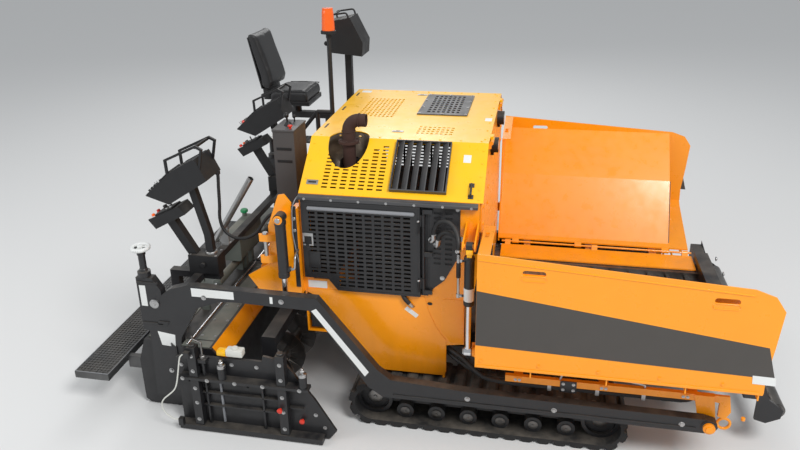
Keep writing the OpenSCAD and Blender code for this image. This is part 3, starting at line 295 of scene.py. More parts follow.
# %% The table of finishes
FINISHES = {
    "orange_enamel": dict(colour=srgb(255, 158, 8), rough=0.3, coat=0.35, dust=0.08, dirt=0.25, drift=0.1,
                          dark=srgb(206, 110, 6)),
    "yellow_enamel": dict(colour=srgb(255, 193, 10), rough=0.32, coat=0.35, dust=0.1, dirt=0.0, drift=0.1,
                          dark=srgb(232, 150, 6)),
    "dark_grey_enamel": dict(colour=srgb(66, 66, 68), rough=0.42, coat=0.1, dust=0.25, dirt=0.1),
    "stripe_brown": dict(colour=srgb(66, 62, 58), rough=0.38, coat=0.25, dust=0.05, dirt=0.1),
    "black_enamel": dict(colour=srgb(34, 34, 36), rough=0.4, coat=0.1, dust=0.28, dirt=0.3),
    "black_plastic": dict(colour=srgb(24, 24, 26), rough=0.5, dust=0.2, dirt=0.0, grain=(160, 0.03)),
    "cabinet_plastic": dict(colour=srgb(78, 76, 76), rough=0.45, dust=0.2, dirt=0.0),
    "rust": dict(colour=srgb(62, 38, 30), rough=0.85, dust=0.1, dirt=0.0, drift=0.8, dark=srgb(38, 22, 18),
                 scratches=0.9, grain=(90, 0.12)),
    "chrome": dict(colour=(0.75, 0.75, 0.77), rough=0.09, metal=1.0, dust=0.04, dirt=0.0, drift=0.05,
                   scratches=0.05, grain=(60, 0.002)),
    "zinc": dict(colour=(0.5, 0.5, 0.5), rough=0.35, metal=1.0, dust=0.15, dirt=0.0, scratches=0.3),
    "worn_steel": dict(colour=(0.3, 0.29, 0.28), rough=0.4, metal=1.0, dust=0.2, dirt=0.5,
                       dark=(0.06, 0.055, 0.05), drift=0.8, scratches=0.6),
    "tread_metal": dict(colour=(0.2, 0.2, 0.2), rough=0.48, metal=0.9, dust=0.35, dirt=0.2, drift=0.6,
                        dark=(0.05, 0.05, 0.05)),
    "track_rubber": dict(colour=srgb(38, 37, 37), rough=0.85, dust=0.5, dirt=0.3, grain=(120, 0.08)),
    "hose_rubber": dict(colour=srgb(30, 30, 31), rough=0.6, dust=0.2, dirt=0.0, grain=(140, 0.05)),
    # The dark iron finish below is sooty iron on the engine block, and painted shade on the engine bay's
    # sheets.
    "sooty_iron_and_painted_shade": dict(colour=srgb(40, 40, 42), rough=0.7, dust=0.2, dirt=0.0, grain=(50, 0.08)),
    "amber": dict(colour=srgb(255, 104, 10), rough=0.2, coat=0.5, dust=0.05, dirt=0.0, scratches=0.1),
    "white_label": dict(colour=srgb(226, 228, 226), rough=0.45, dust=0.1, dirt=0.0, drift=0.2,
                        dark=srgb(190, 190, 186)),
    "red_plastic": dict(colour=srgb(214, 48, 26), rough=0.3, coat=0.3, dust=0.05, dirt=0.0),
    "green_plastic": dict(colour=srgb(24, 140, 84), rough=0.35, coat=0.2, dust=0.1, dirt=0.0),
    "lamp_glass": dict(colour=srgb(214, 220, 226), rough=0.08, coat=0.8, dust=0.05, dirt=0.0, scratches=0.0),
    "screen": dict(colour=srgb(52, 60, 74), rough=0.15, coat=0.6, dust=0.05, dirt=0.0),
    "cable_white": dict(colour=srgb(216, 216, 208), rough=0.45, dust=0.15, dirt=0.0, drift=0.2),
    "tank_grey": dict(colour=srgb(96, 102, 96), rough=0.5, dust=0.55, dirt=0.2, drift=0.4),
    "pale_grey": dict(colour=srgb(132, 134, 138), rough=0.45, dust=0.2, dirt=0.1, drift=0.3),
    "heat_shield": dict(colour=(0.46, 0.4, 0.33), rough=0.38, metal=1.0, dust=0.1, dirt=0.0, drift=0.9,
                        dark=(0.16, 0.09, 0.05)),
}
looks = {name: finish(name, **facts) for name, facts in FINISHES.items()}
print(len(looks), "finishes")

# %% [markdown]
# ### The seat's vinyl
#
# Seat vinyl has a fine grain of rounded cells between creases, which a Voronoi pattern gives, and a soft
# sheen. It reads Object coordinates, so the cloth simulation's remesh does no harm.

# %% Vinyl
def vinyl(name):
    material = bpy.data.materials.new(name)
    g = Graph(material)
    shader = g.add("ShaderNodeBsdfPrincipled")
    out = g.add("ShaderNodeOutputMaterial")
    cells = g.add("ShaderNodeTexVoronoi", feature="DISTANCE_TO_EDGE")
    cells.inputs["Scale"].default_value = 420
    g.link(g.coords, cells.inputs["Vector"])
    crease = g.band(cells.outputs["Distance"], 0.0, 0.12)
    # The creases between the grain's cells are painted darker, as painted shade; the same mask also gives the
    # bump.
    tone = g.blend(crease, srgb(16, 16, 17), srgb(33, 33, 35))
    worn = g.times(g.facing_up(), g.band(g.noise(7, 6), 0.4, 0.75))
    tone = g.blend(g.times(worn, 0.3), tone, srgb(92, 90, 88))
    g.link(tone, shader.inputs["Base Color"])
    shader.inputs["Roughness"].default_value = 0.5
    shader.inputs["Coat Weight"].default_value = 0.15
    shader.inputs["Coat Roughness"].default_value = 0.3
    bump = g.add("ShaderNodeBump")
    bump.inputs["Strength"].default_value = 0.35
    bump.inputs["Distance"].default_value = 0.0006
    g.link(crease, bump.inputs["Height"])
    g.link(bump.outputs[0], shader.inputs["Normal"])
    g.link(shader.outputs[0], out.inputs["Surface"])
    return material


looks["seat_vinyl"] = vinyl("seat_vinyl")

# %% [markdown]
# ## The CAD nodes get their finishes
#
# Their shapes are right already, so each only gets a better material and, where it is round, smooth shading.

# %% Finishes of the CAD nodes
NODE_LOOKS = {
    "orange_enamel": ["frame", "bulkhead", "lift_towers", "hopper_frame", "wing_right", "wing_left"],
    "yellow_enamel": ["hood_shell"],
    "dark_grey_enamel": ["hood_grilles"],
    "black_enamel": ["engine_door_right", "engine_door_left", "vent_plates", "tow_arms", "main_screed",
                     "depth_cranks", "extension_right", "extension_left", "end_gate_right", "end_gate_left",
                     "push_beam", "auger_frame", "operator_deck", "wing_barrel_right", "wing_barrel_left",
                     "lift_barrel_right", "lift_barrel_left", "seat_frame", "track_frames", "chassis_rails"],
    "black_plastic": ["screed_consoles", "driver_console"],
    "cabinet_plastic": ["control_cabinet"],
    "chrome": ["wing_rod_right", "wing_rod_left", "lift_rod_right", "lift_rod_left"],
    "worn_steel": ["conveyor", "auger_right", "auger_left", "push_roller_right", "push_roller_left"],
    "tread_metal": ["walkway"],
    "rust": ["exhaust"],
    "track_rubber": ["track_right", "track_left"],
    "sooty_iron_and_painted_shade": ["engine_block"],
    "amber": ["beacon"],
    "seat_vinyl": ["seat_cushion"],
    "hose_rubber": ["console_conduit", "cylinder_hoses", "sill_hoses"],
    "cable_white": ["gate_cable"],
    "tank_grey": ["screed_tank", "screed_cylinders"],
    "zinc": ["pole_socket", "hose_clips"],
}
for look, names in NODE_LOOKS.items():
    for name in names:
        mesh = nodes[name].data
        mesh.materials.clear()
        mesh.materials.append(looks[look])
print(sum(len(v) for v in NODE_LOOKS.values()), "nodes finished")

# %% [markdown]
# ## Helpers that draw in metres
#
# A piece is one mesh, drawn from a few primitives that take their corners straight in the machine's frame.
# Edges get a small bevel, because a sharp edge on real steel still catches a thin line of light.

# %% Primitives
def box(bm, low, high, bevel=0.0):
    made = bmesh.ops.create_cube(bm, size=1.0)["verts"]
    low, high = Vector(low), Vector(high)
    for v in made:
        v.co = Vector(low[i] + (v.co[i] + 0.5) * (high[i] - low[i]) for i in range(3))
    if bevel:
        edges = {e for v in made for e in v.link_edges}
        bmesh.ops.bevel(bm, geom=list(edges), offset=bevel, segments=2, affect="EDGES", profile=0.6)


def prism(bm, outline, axis, start, stop, bevel=0.0):
    """Extrudes an outline. axis is the letter it runs along; its two numbers fill the other two in order."""
    place = {"x": lambda p, t: (t, p[0], p[1]),
             "y": lambda p, t: (p[0], t, p[1]),
             "z": lambda p, t: (p[0], p[1], t)}[axis]
    verts = [bm.verts.new(place(p, start)) for p in outline]
    face = bm.faces.new(verts)
    made = bmesh.ops.extrude_face_region(bm, geom=[face])["geom"]
    top = [v for v in made if isinstance(v, bmesh.types.BMVert)]
    shift = Vector(place((0, 0), stop)) - Vector(place((0, 0), start))
    bmesh.ops.translate(bm, verts=top, vec=shift)
    if bevel:
        edges = {e for v in verts + top for e in v.link_edges}
        bmesh.ops.bevel(bm, geom=list(edges), offset=bevel, segments=2, affect="EDGES", profile=0.6)


def add_drawing(bm, drawing):
    """Adds one drawing to another and frees it."""
    mesh = bpy.data.meshes.new("drawing")
    drawing.to_mesh(mesh)
    drawing.free()
    bm.from_mesh(mesh)
    bpy.data.meshes.remove(mesh)


def ring_at(bm, centre, side, other, radius, count):
    turn = 2 * math.pi / count
    return [bm.verts.new(centre + radius * (math.cos(i * turn) * side + math.sin(i * turn) * other))
            for i in range(count)]


def skin(bm, rings, closed_ends=True):
    for a, b in zip(rings, rings[1:]):
        for i in range(len(a)):
            j = (i + 1) % len(a)
            bm.faces.new((a[i], a[j], b[j], b[i]))
    if closed_ends:
        bm.faces.new(list(reversed(rings[0])))
        bm.faces.new(rings[-1])


def lathe(bm, base, axis, profile, count=24):
    """Turns a profile of (distance along the axis, radius) about an axis through base."""
    axis = Vector(axis).normalized()
    side = axis.orthogonal().normalized()
    other = axis.cross(side)
    skin(bm, [ring_at(bm, Vector(base) + axis * t, side, other, r, count) for t, r in profile])


def rod(bm, a, b, radius, count=16, chamfer=None):
    a, b = Vector(a), Vector(b)
    length = (b - a).length
    c = min(radius * 0.15, length * 0.2) if chamfer is None else chamfer
    lathe(bm, a, b - a, [(0, radius - c), (c, radius), (length - c, radius), (length, radius - c)], count)


def pipe(bm, a, b, outer, inner, count=20):
    """An open tube between two points."""
    a, b = Vector(a), Vector(b)
    axis = (b - a).normalized()
    side = axis.orthogonal().normalized()
    other = axis.cross(side)
    edges = ((a, inner), (a, outer), (b, outer), (b, inner), (a, inner))
    skin(bm, [ring_at(bm, p, side, other, r, count) for p, r in edges], closed_ends=False)


def smooth_path(points, steps=6):
    """Catmull-Rom through the points."""
    points = [Vector(p) for p in points]
    ends = [points[0] * 2 - points[1]] + points + [points[-1] * 2 - points[-2]]
    out = []
    for k in range(1, len(ends) - 2):
        p0, p1, p2, p3 = ends[k - 1:k + 3]
        for i in range(steps):
            t = i / steps
            out.append(0.5 * (2 * p1 + (p2 - p0) * t + (2 * p0 - 5 * p1 + 4 * p2 - p3) * t * t
                              + (3 * p1 - p0 - 3 * p2 + p3) * t ** 3))
    return out + [points[-1]]


def tube(bm, path, radius, count=10, radii=None):
    """A round bar or hose along a path, with frames that don't twist."""
    path = [Vector(p) for p in path]
    side, rings = None, []
    for i, p in enumerate(path):
        ahead = (path[min(i + 1, len(path) - 1)] - path[max(i - 1, 0)]).normalized()
        if side is None:
            side = ahead.orthogonal()
        side = (side - ahead * side.dot(ahead)).normalized()
        rings.append(ring_at(bm, p, side, ahead.cross(side), radii[i] if radii else radius, count))
    skin(bm, rings)


def bent_bar(bm, corners, radius, bend=0.03, count=10):
    """A bar that turns at its corners with a small radius."""
    corners = [Vector(p) for p in corners]
    path = [corners[0]]
    for a, b, c in zip(corners, corners[1:], corners[2:]):
        cut = min(bend, (b - a).length * 0.45, (c - b).length * 0.45)
        p, q = b + (a - b).normalized() * cut, b + (c - b).normalized() * cut
        path += [p.lerp(b, t).lerp(b.lerp(q, t), t) for t in (0, 0.2, 0.4, 0.6, 0.8, 1)]
    tube(bm, path + [corners[-1]], radius, count)


def circle(centre, radius, side, other, count=24):
    """Points round a circle in the plane of two directions, with the first point again at the end."""
    turns = [2 * math.pi * i / count for i in range(count + 1)]
    return [Vector(centre) + radius * (math.cos(a) * Vector(side) + math.sin(a) * Vector(other))
            for a in turns]


def oval(centre, length, width, side, other, first=0.0, count=24):
    """Points round a slot's outline, which is a circle pulled apart along side."""
    points = []
    for i in range(count):
        a = 2 * math.pi * i / count + first
        along = math.copysign((length - width) / 2, math.cos(a)) + width / 2 * math.cos(a)
        points.append(Vector(centre) + along * Vector(side) + width / 2 * math.sin(a) * Vector(other))
    return points


AHEAD, LEFT, UP = (1, 0, 0), (0, 1, 0), (0, 0, 1)
print("primitives ready")

# %% [markdown]
# A piece may have several finishes, such as a black box with bright knobs. Each finish is drawn on its own
# and gets its own material slot, so one object still carries the whole.


def smooth(mesh, angle=40):
    mesh.polygons.foreach_set("use_smooth", [True] * len(mesh.polygons))
    mesh.set_sharp_from_angle(angle=math.radians(angle))


def piece(name, body, *layers):
    """layers are pairs of a look and a function that draws into a bmesh."""
    whole = bmesh.new()
    mesh = bpy.data.meshes.new(name)
    for index, (look, draw) in enumerate(layers):
        part = bmesh.new()
        draw(part)
        bmesh.ops.recalc_face_normals(part, faces=part.faces)
        for face in part.faces:
            face.material_index = index
        layer = bpy.data.meshes.new(name + "_layer")
        part.to_mesh(layer)
        part.free()
        whole.from_mesh(layer)
        bpy.data.meshes.remove(layer)
        mesh.materials.append(looks[look])
    whole.to_mesh(mesh)
    whole.free()
    smooth(mesh)
    made = bpy.data.objects.new(name, mesh)
    scene.collection.objects.link(made)
    if body:
        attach(made, body)
    return made


SIDES = ((-1, "right"), (1, "left"))


def both_sides(name, body, layers):
    """Makes a piece for each side. layers is a function of the side's sign, which is -1 on the right."""
    for sign, word in SIDES:
        piece(f"{name}_{word}", body.replace("SIDE", word), *layers(sign))


# %% [markdown]
# ## Fasteners by Geometry Nodes
#
# Bolts, rivets and knobs repeat in their hundreds. One node tree puts a washer and a six-sided or round
# head on each point of a plain mesh, turned to the direction stored on the point, and another object can
# reuse it with other sizes, because the sizes are the tree's named inputs.

# %% The fastener tree
def new_tree(name, inputs):
    tree = bpy.data.node_groups.new(name, "GeometryNodeTree")
    tree.interface.new_socket("Geometry", in_out="INPUT", socket_type="NodeSocketGeometry")
    for label, kind, value in inputs:
        socket = tree.interface.new_socket(label, in_out="INPUT", socket_type=kind)
        if value is not None:
            socket.default_value = value
    tree.interface.new_socket("Geometry", in_out="OUTPUT", socket_type="NodeSocketGeometry")
    start, end = tree.nodes.new("NodeGroupInput"), tree.nodes.new("NodeGroupOutput")
    return tree, start, end


def close_tree(tree, geometry, start, end):
    realize = tree.nodes.new("GeometryNodeRealizeInstances")
    paint = tree.nodes.new("GeometryNodeSetMaterial")
    tree.links.new(geometry, realize.inputs[0])
    tree.links.new(realize.outputs[0], paint.inputs["Geometry"])
    tree.links.new(start.outputs["Material"], paint.inputs["Material"])
    tree.links.new(paint.outputs[0], end.inputs[0])


def fastener_tree():
    tree, start, end = new_tree("fasteners", [
        ("Head radius", "NodeSocketFloat", 0.01), ("Head height", "NodeSocketFloat", 0.007),
        ("Washer radius", "NodeSocketFloat", 0.014), ("Sides", "NodeSocketInt", 6),
        ("Material", "NodeSocketMaterial", None)])
    add, link = tree.nodes.new, tree.links.new
    head, washer = add("GeometryNodeMeshCylinder"), add("GeometryNodeMeshCylinder")
    washer.inputs["Vertices"].default_value = 12
    washer.inputs["Depth"].default_value = 0.003
    link(start.outputs["Sides"], head.inputs["Vertices"])
    link(start.outputs["Head radius"], head.inputs["Radius"])
    link(start.outputs["Head height"], head.inputs["Depth"])
    link(start.outputs["Washer radius"], washer.inputs["Radius"])
    lift = add("GeometryNodeTransform")
    raise_by = add("ShaderNodeCombineXYZ")
    half = add("ShaderNodeMath")
    half.operation = "MULTIPLY"
    half.inputs[1].default_value = 0.5
    link(start.outputs["Head height"], half.inputs[0])
    link(half.outputs[0], raise_by.inputs["Z"])
    link(head.outputs["Mesh"], lift.inputs["Geometry"])
    link(raise_by.outputs[0], lift.inputs["Translation"])
    join = add("GeometryNodeJoinGeometry")
    link(lift.outputs[0], join.inputs[0])
    link(washer.outputs["Mesh"], join.inputs[0])
    facing = add("GeometryNodeInputNamedAttribute")
    facing.data_type = "FLOAT_VECTOR"
    facing.inputs["Name"].default_value = "facing"
    turn = add("FunctionNodeAlignRotationToVector")
    turn.axis = "Z"
    link(facing.outputs["Attribute"], turn.inputs["Vector"])
    spread = add("GeometryNodeInstanceOnPoints")
    link(start.outputs["Geometry"], spread.inputs["Points"])
    link(join.outputs[0], spread.inputs["Instance"])
    link(turn.outputs[0], spread.inputs["Rotation"])
    close_tree(tree, spread.outputs[0], start, end)
    return tree


FASTENERS = fastener_tree()


def run_tree(name, source_mesh, tree, body, look, **sizes):
    """Runs a node tree on a mesh and keeps the result as one plain piece."""
    carrier = bpy.data.objects.new(name + "_points", source_mesh)
    scene.collection.objects.link(carrier)
    modifier = carrier.modifiers.new("nodes", "NODES")
    modifier.node_group = tree
    sockets = {s.name: s.identifier for s in tree.interface.items_tree if s.in_out == "INPUT"}
    for label, value in sizes.items():
        modifier[sockets[label.replace("_", " ")]] = value
    modifier[sockets["Material"]] = looks[look]
    bpy.context.view_layer.update()
    ready = carrier.evaluated_get(bpy.context.evaluated_depsgraph_get())
    mesh = bpy.data.meshes.new_from_object(ready)
    mesh.name = name
    bpy.data.objects.remove(carrier)
    if not mesh.materials:
        mesh.materials.append(looks[look])
    smooth(mesh)
    made = bpy.data.objects.new(name, mesh)
    scene.collection.objects.link(made)
    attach(made, body)
    return made


def fasteners(name, body, look, places, radius=0.01, height=0.007, washer=0.014, sides=6):
    """places is a list of (point, direction the head faces)."""
    mesh = bpy.data.meshes.new(name + "_places")
    mesh.from_pydata([p for p, _ in places], [], [])
    facing = mesh.attributes.new("facing", "FLOAT_VECTOR", "POINT")
    facing.data.foreach_set("vector", [c for _, d in places for c in d])
    return run_tree(name, mesh, FASTENERS, body, look, Head_radius=radius, Head_height=height,
                    Washer_radius=washer, Sides=sides)


def row(a, b, count, direction):
    """Evenly spaced places from a to b that all face one way."""
    a, b = Vector(a), Vector(b)
    return [(tuple(a.lerp(b, i / max(count - 1, 1))), direction) for i in range(count)]


print("fastener tree has", len(FASTENERS.nodes), "nodes")

# %% [markdown]
# ## Cords and hoses
#
# The routes repeat the CAD's points. A ribbed hose is a tube whose rings swell and shrink by turns. The
# conduit hangs in a bight between the tractor and the right-hand console. The gate's cable starts and ends in
# plugs.

# %% Free cords
def along_path(path, spacing):
    """Points along a path at even distances."""
    path = [Vector(p) for p in path]
    marks = [0.0]
    for a, b in zip(path, path[1:]):
        marks.append(marks[-1] + (b - a).length)
    count, out, k = max(int(marks[-1] / spacing), 2), [], 0
    for i in range(count + 1):
        want = marks[-1] * i / count
        while k < len(path) - 2 and marks[k + 1] < want:
            k += 1
        t = (want - marks[k]) / max(marks[k + 1] - marks[k], 1e-9)
        out.append(path[k].lerp(path[k + 1], min(t, 1)))
    return out


def path_length(path):
    return sum((Vector(b) - Vector(a)).length for a, b in zip(path, path[1:]))


def ribbed(bm, path, radius, pitch=0.008, depth=0.0012, count=12):
    points = along_path(path, pitch / 2)
    tube(bm, points, radius, count, [radius if i % 2 else radius - depth for i in range(len(points))])


CONDUIT = smooth_path([(x, -0.935, z) for x, z in [
    (-1.372, 1.7517), (-1.372, 1.724), (-1.378, 1.640), (-1.381, 1.575), (-1.385, 1.510), (-1.392, 1.450),
    (-1.392, 1.400), (-1.380, 1.350), (-1.352, 1.308), (-1.311, 1.282), (-1.262, 1.272), (-1.210, 1.280),
    (-1.160, 1.303), (-1.120, 1.337), (-1.088, 1.380), (-1.058, 1.425), (-1.022, 1.465), (-0.975, 1.490),
    (-0.920, 1.502), (-0.855, 1.505), (-0.7853, 1.505)]], 4)
conduit = piece("console_conduit_dressed", None,
                ("hose_rubber", lambda bm: ribbed(bm, CONDUIT, 0.012, 0.009)))
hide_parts("console_conduit")
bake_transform(conduit)
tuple(CONDUIT[0])
path_length(CONDUIT)

GATE_CABLE = smooth_path([(x, -1.480, z) for x, z in [
    (-1.5003, 0.640), (-1.512, 0.640), (-1.530, 0.620), (-1.538, 0.596), (-1.545, 0.566), (-1.553, 0.530),
    (-1.561, 0.492), (-1.570, 0.452), (-1.580, 0.412), (-1.592, 0.375), (-1.610, 0.342), (-1.636, 0.314),
    (-1.664, 0.288), (-1.692, 0.262), (-1.714, 0.230), (-1.722, 0.194), (-1.714, 0.158), (-1.694, 0.126),
    (-1.664, 0.104), (-1.638, 0.092), (-1.6063, 0.092)]], 4)
gate_cable = piece("gate_cable_dressed", "extension_right",
                   ("cable_white", lambda bm: tube(bm, GATE_CABLE, 0.005, 10)))
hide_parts("gate_cable")
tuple(GATE_CABLE[0])
path_length(GATE_CABLE)
print("conduit", round(path_length(CONDUIT), 3), "m, gate cable", round(path_length(GATE_CABLE), 3), "m")

# %% [markdown]
# These hoses are held by fittings, so they ride on the chassis whole. Their crimped ends are bright six-sided
# sleeves, and the long run under the sill is taped together.

# %% Hoses that fittings hold at both ends
HOSE_RADIUS, CRIMP_RADIUS = 0.015, 0.0175
OUTER_HOSE = [(0.125, -1.0463, 1.420), (0.125, -1.070, 1.420), (0.130, -1.088, 1.424), (0.143, -1.096, 1.440),
              (0.150, -1.098, 1.468), (0.150, -1.100, 1.500), (0.160, -1.104, 1.535), (0.180, -1.112, 1.568),
              (0.212, -1.124, 1.588), (0.250, -1.142, 1.590), (0.284, -1.168, 1.574), (0.308, -1.198, 1.545),
              (0.322, -1.228, 1.508), (0.327, -1.244, 1.475), (0.328, -1.250, 1.448)]
INNER_HOSE = [(0.160, -1.0463, 1.388), (0.160, -1.070, 1.388), (0.164, -1.086, 1.392), (0.172, -1.092, 1.406),
              (0.176, -1.094, 1.430), (0.180, -1.097, 1.455), (0.192, -1.103, 1.482), (0.215, -1.112, 1.503),
              (0.245, -1.124, 1.512), (0.280, -1.136, 1.506), (0.312, -1.146, 1.494), (0.330, -1.150, 1.486),
              (0.3497, -1.150, 1.486)]


def cylinder_hose_rubber(bm):
    for route in (OUTER_HOSE, INNER_HOSE):
        ribbed(bm, smooth_path(route[4:], 5), HOSE_RADIUS, 0.007, 0.0013, 14)


def cylinder_hose_fittings(bm):
    for route in (OUTER_HOSE, INNER_HOSE):
        tube(bm, smooth_path(route[:5], 5), 0.0115, 12)
        rod(bm, route[0], Vector(route[0]) + Vector((0, -0.010, 0)), 0.021, 6)
        sleeve = Vector(route[4])
        ahead = (Vector(route[5]) - sleeve).normalized()
        rod(bm, sleeve - ahead * 0.024, sleeve + ahead * 0.016, CRIMP_RADIUS, 6, 0.002)
    rod(bm, (0.328, -1.250, 1.447), (0.328, -1.250, 1.462), 0.017, 6, 0.002)
    rod(bm, (0.332, -1.150, 1.486), (0.3495, -1.150, 1.486), CRIMP_RADIUS, 6, 0.002)


hoses = piece("cylinder_hoses_dressed", "chassis", ("hose_rubber", cylinder_hose_rubber),
              ("zinc", cylinder_hose_fittings))
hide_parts("cylinder_hoses")

SILL_HOSES = [
    (0.016, [(0.215, -0.985, 0.6277), (0.215, -0.985, 0.604), (0.236, -0.998, 0.577), (0.290, -1.035, 0.560),
             (0.350, -1.078, 0.550), (0.420, -1.140, 0.528), (0.500, -1.186, 0.500), (0.600, -1.200, 0.487),
             (0.700, -1.200, 0.485), (1.200, -1.200, 0.485), (1.700, -1.200, 0.485), (1.760, -1.196, 0.484),
             (1.806, -1.178, 0.481), (1.838, -1.146, 0.477), (1.850, -1.100, 0.472), (1.852, -1.000, 0.466),
             (1.852, -0.850, 0.459), (1.852, -0.720, 0.455), (1.852, -0.6903, 0.455)]),
    (0.012, [(0.180, -0.970, 0.6277), (0.180, -0.970, 0.590), (0.212, -0.984, 0.549), (0.275, -1.030, 0.526),
             (0.345, -1.080, 0.512), (0.420, -1.122, 0.497), (0.500, -1.152, 0.491), (0.600, -1.168, 0.490),
             (0.700, -1.168, 0.490), (1.200, -1.168, 0.490), (1.690, -1.168, 0.490), (1.740, -1.164, 0.489),
             (1.776, -1.148, 0.486), (1.800, -1.118, 0.482), (1.812, -1.080, 0.478), (1.815, -0.980, 0.474),
             (1.815, -0.850, 0.469), (1.815, -0.720, 0.465), (1.815, -0.6903, 0.465)])]


def sill_hoses(bm):
    for radius, route in SILL_HOSES:
        tube(bm, smooth_path(route, 4), radius, 14)


def sill_hose_ties(bm):
    # Black tape, as on any bundle that a fitter has dressed
    for radius, route in SILL_HOSES:
        for x in (0.80, 1.08, 1.38, 1.64):
            y, z = route[8][1], route[8][2]
            rod(bm, (x, y, z), (x + 0.03, y, z), radius + 0.0012, 14, 0.0005)


bundle = piece("sill_hoses_dressed", "chassis", ("hose_rubber", sill_hoses),
               ("black_plastic", sill_hose_ties))
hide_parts("sill_hoses")
print("held hoses made")

# %% [markdown]
# ## The hood
#
# The hood is one folded sheet: a flat top, and a slope on each side down to a dark strip that sheds rain
# over the doors. These first numbers repeat the CAD's, and `slope` turns a place on the right or left slope
# into a point of the machine, so that everything fixed there sits flush.

# %% Places on the hood
HOOD_REAR, HOOD_FRONT, HOOD_TOP, HOOD_EDGE = -0.765, 0.455, 1.975, 1.690
CREASE, HOOD_HALF, BODY_SIDE = 0.68, 1.036, 1.040
SLOPE = math.atan2(HOOD_TOP - HOOD_EDGE, HOOD_HALF - CREASE)


def slope(x, down, out=0.0, sign=-1):
    """x along the machine, metres down the slope from its crease, metres out of the sheet."""
    y = CREASE + down * math.cos(SLOPE) + out * math.sin(SLOPE)
    return Vector((x, sign * y, HOOD_TOP - down * math.sin(SLOPE) + out * math.cos(SLOPE)))


def slope_normal(sign=-1):
    return (0.0, sign * math.sin(SLOPE), math.cos(SLOPE))


def slope_box(bm, x0, x1, d0, d1, out0, out1, sign=-1, bevel=0.0):
    """A block that lies on the slope."""
    on_flat = bmesh.new()
    box(on_flat, (x0, d0, out0), (x1, d1, out1), bevel)
    for v in on_flat.verts:
        v.co = slope(v.co.x, v.co.y, v.co.z, sign)
    add_drawing(bm, on_flat)


print("slope angle", round(math.degrees(SLOPE), 1))

# %% [markdown]
# The rain strip is a shallow channel in dark grey with a lip, screwed on in a row. It hides the joint
# between hood and doors.

# %% Rain strips and the trim of the hood
def rain_strip(sign):
    def strip(bm):
        outline = [(1.041, 1.6575), (1.078, 1.6575), (1.078, 1.676), (1.073, 1.681), (1.060, 1.681),
                   (1.052, 1.6885), (1.041, 1.6885)]
        prism(bm, [(sign * y, z) for y, z in outline], "x", HOOD_REAR + 0.002, HOOD_FRONT - 0.03, 0.0015)
    return (("dark_grey_enamel", strip),)


both_sides("rain_strip", "chassis", rain_strip)
strip_bolts = []
for s in (-1, 1):
    y, z = s * 1.0785, 1.667
    strip_bolts += row((HOOD_REAR + 0.05, y, z), (HOOD_FRONT - 0.07, y, z), 7, (0, s, 0))
fasteners("rain_strip_bolts", "chassis", "zinc", strip_bolts, 0.006, 0.004, 0.009)


def hood_trim(bm):
    # The rear hem, under the flat top and down both slopes
    back, front, under, over = HOOD_REAR - 0.001, HOOD_REAR + 0.004, -0.028, -0.001
    box(bm, (back, -CREASE, HOOD_TOP + under), (front, CREASE, HOOD_TOP + over), 0.001)
    for sign in (-1, 1):
        slope_box(bm, back, front, 0.0, 0.45, under, over, sign, 0.001)


def hood_hinge_slots(bm):
    # Black blocks where the hinge slots are, painted shade for the dark inside of each slot.
    for y in (-0.43, 0.05, 0.5):
        low = (HOOD_REAR + 0.028, y - 0.05, HOOD_TOP - 0.001)
        box(bm, low, (HOOD_REAR + 0.042, y + 0.05, HOOD_TOP + 0.0012), 0.0005)


piece("hood_trim", "hood", ("yellow_enamel", hood_trim), ("black_plastic", hood_hinge_slots))
rivets = []
for s in (-1, 1):
    y = s * (CREASE - 0.03)
    rivets += row((HOOD_REAR + 0.06, y, HOOD_TOP), (HOOD_FRONT - 0.05, y, HOOD_TOP), 9, UP)
    for x, downs in ((HOOD_FRONT - 0.03, (0.06, 0.16, 0.26, 0.36, 0.43)),
                     (HOOD_REAR + 0.03, (0.06, 0.2, 0.34))):
        rivets += [(tuple(slope(x, d, 0, s)), slope_normal(s)) for d in downs]
rivets += row((HOOD_FRONT - 0.03, -0.6, HOOD_TOP), (HOOD_FRONT - 0.03, 0.6, HOOD_TOP), 7, UP)
fasteners("hood_rivets", "hood", "yellow_enamel", rivets, 0.007, 0.004, 0.009, 10)

# %% [markdown]
# Small hardware is what makes a flat sheet read as a hood: bolts round the grille plate, two oval latches
# with their keys, a bent handle on the slope and blank labels.

# %% Grille plate bolts, latches, lifting hook and blank labels
grille = [(x, y, HOOD_TOP + 0.008) for x in (-0.12, 0.055, 0.23) for y in (-0.038, 0.15, 0.345, 0.534)]
grille = [g for g in grille if not (g[0] == 0.055 and -0.03 < g[1] < 0.5)]
fasteners("grille_bolts", "hood", "zinc", [(g, UP) for g in grille], 0.008, 0.005, 0.012)


def oval_latch(bm, centre, length=0.085, width=0.034):
    """A pressed steel latch: an oval rim round a raised middle."""
    for size, up_by in ((1.0, 0.004), (0.72, 0.0055)):
        outline = oval(centre, size * length, size * width, AHEAD, LEFT, 0.01)
        prism(bm, outline, "z", centre[2], centre[2] + up_by, 0.0008)


def latches(bm):
    oval_latch(bm, (-0.188, 0.543, HOOD_TOP))
    oval_latch(bm, (-0.194, -0.502, HOOD_TOP))
    for sign in (-1, 1):
        slope_box(bm, -0.725, -0.645, 0.352, 0.388, 0, 0.005, sign, 0.002)


def latch_keys(bm):
    for y in (0.543, -0.502):
        box(bm, (-0.205, y - 0.004, HOOD_TOP + 0.0055), (-0.177, y + 0.004, HOOD_TOP + 0.0068), 0.001)
    for sign in (-1, 1):
        slope_box(bm, -0.712, -0.658, 0.364, 0.376, 0.004, 0.0062, sign, 0.001)


def hook(bm):
    # A bent handle bolted to the right slope, near its front
    x, top, bottom = 0.372, 0.33, 0.415
    corners = ((top, 0.004), (top, 0.03), (bottom, 0.03), (bottom, 0.004))
    handle = [slope(x, down, out) for down, out in corners]
    bent_bar(bm, handle, 0.007, 0.015)
    for d in (top, bottom):
        slope_box(bm, x - 0.017, x + 0.017, d - 0.015, d + 0.015, 0, 0.006, -1, 0.002)


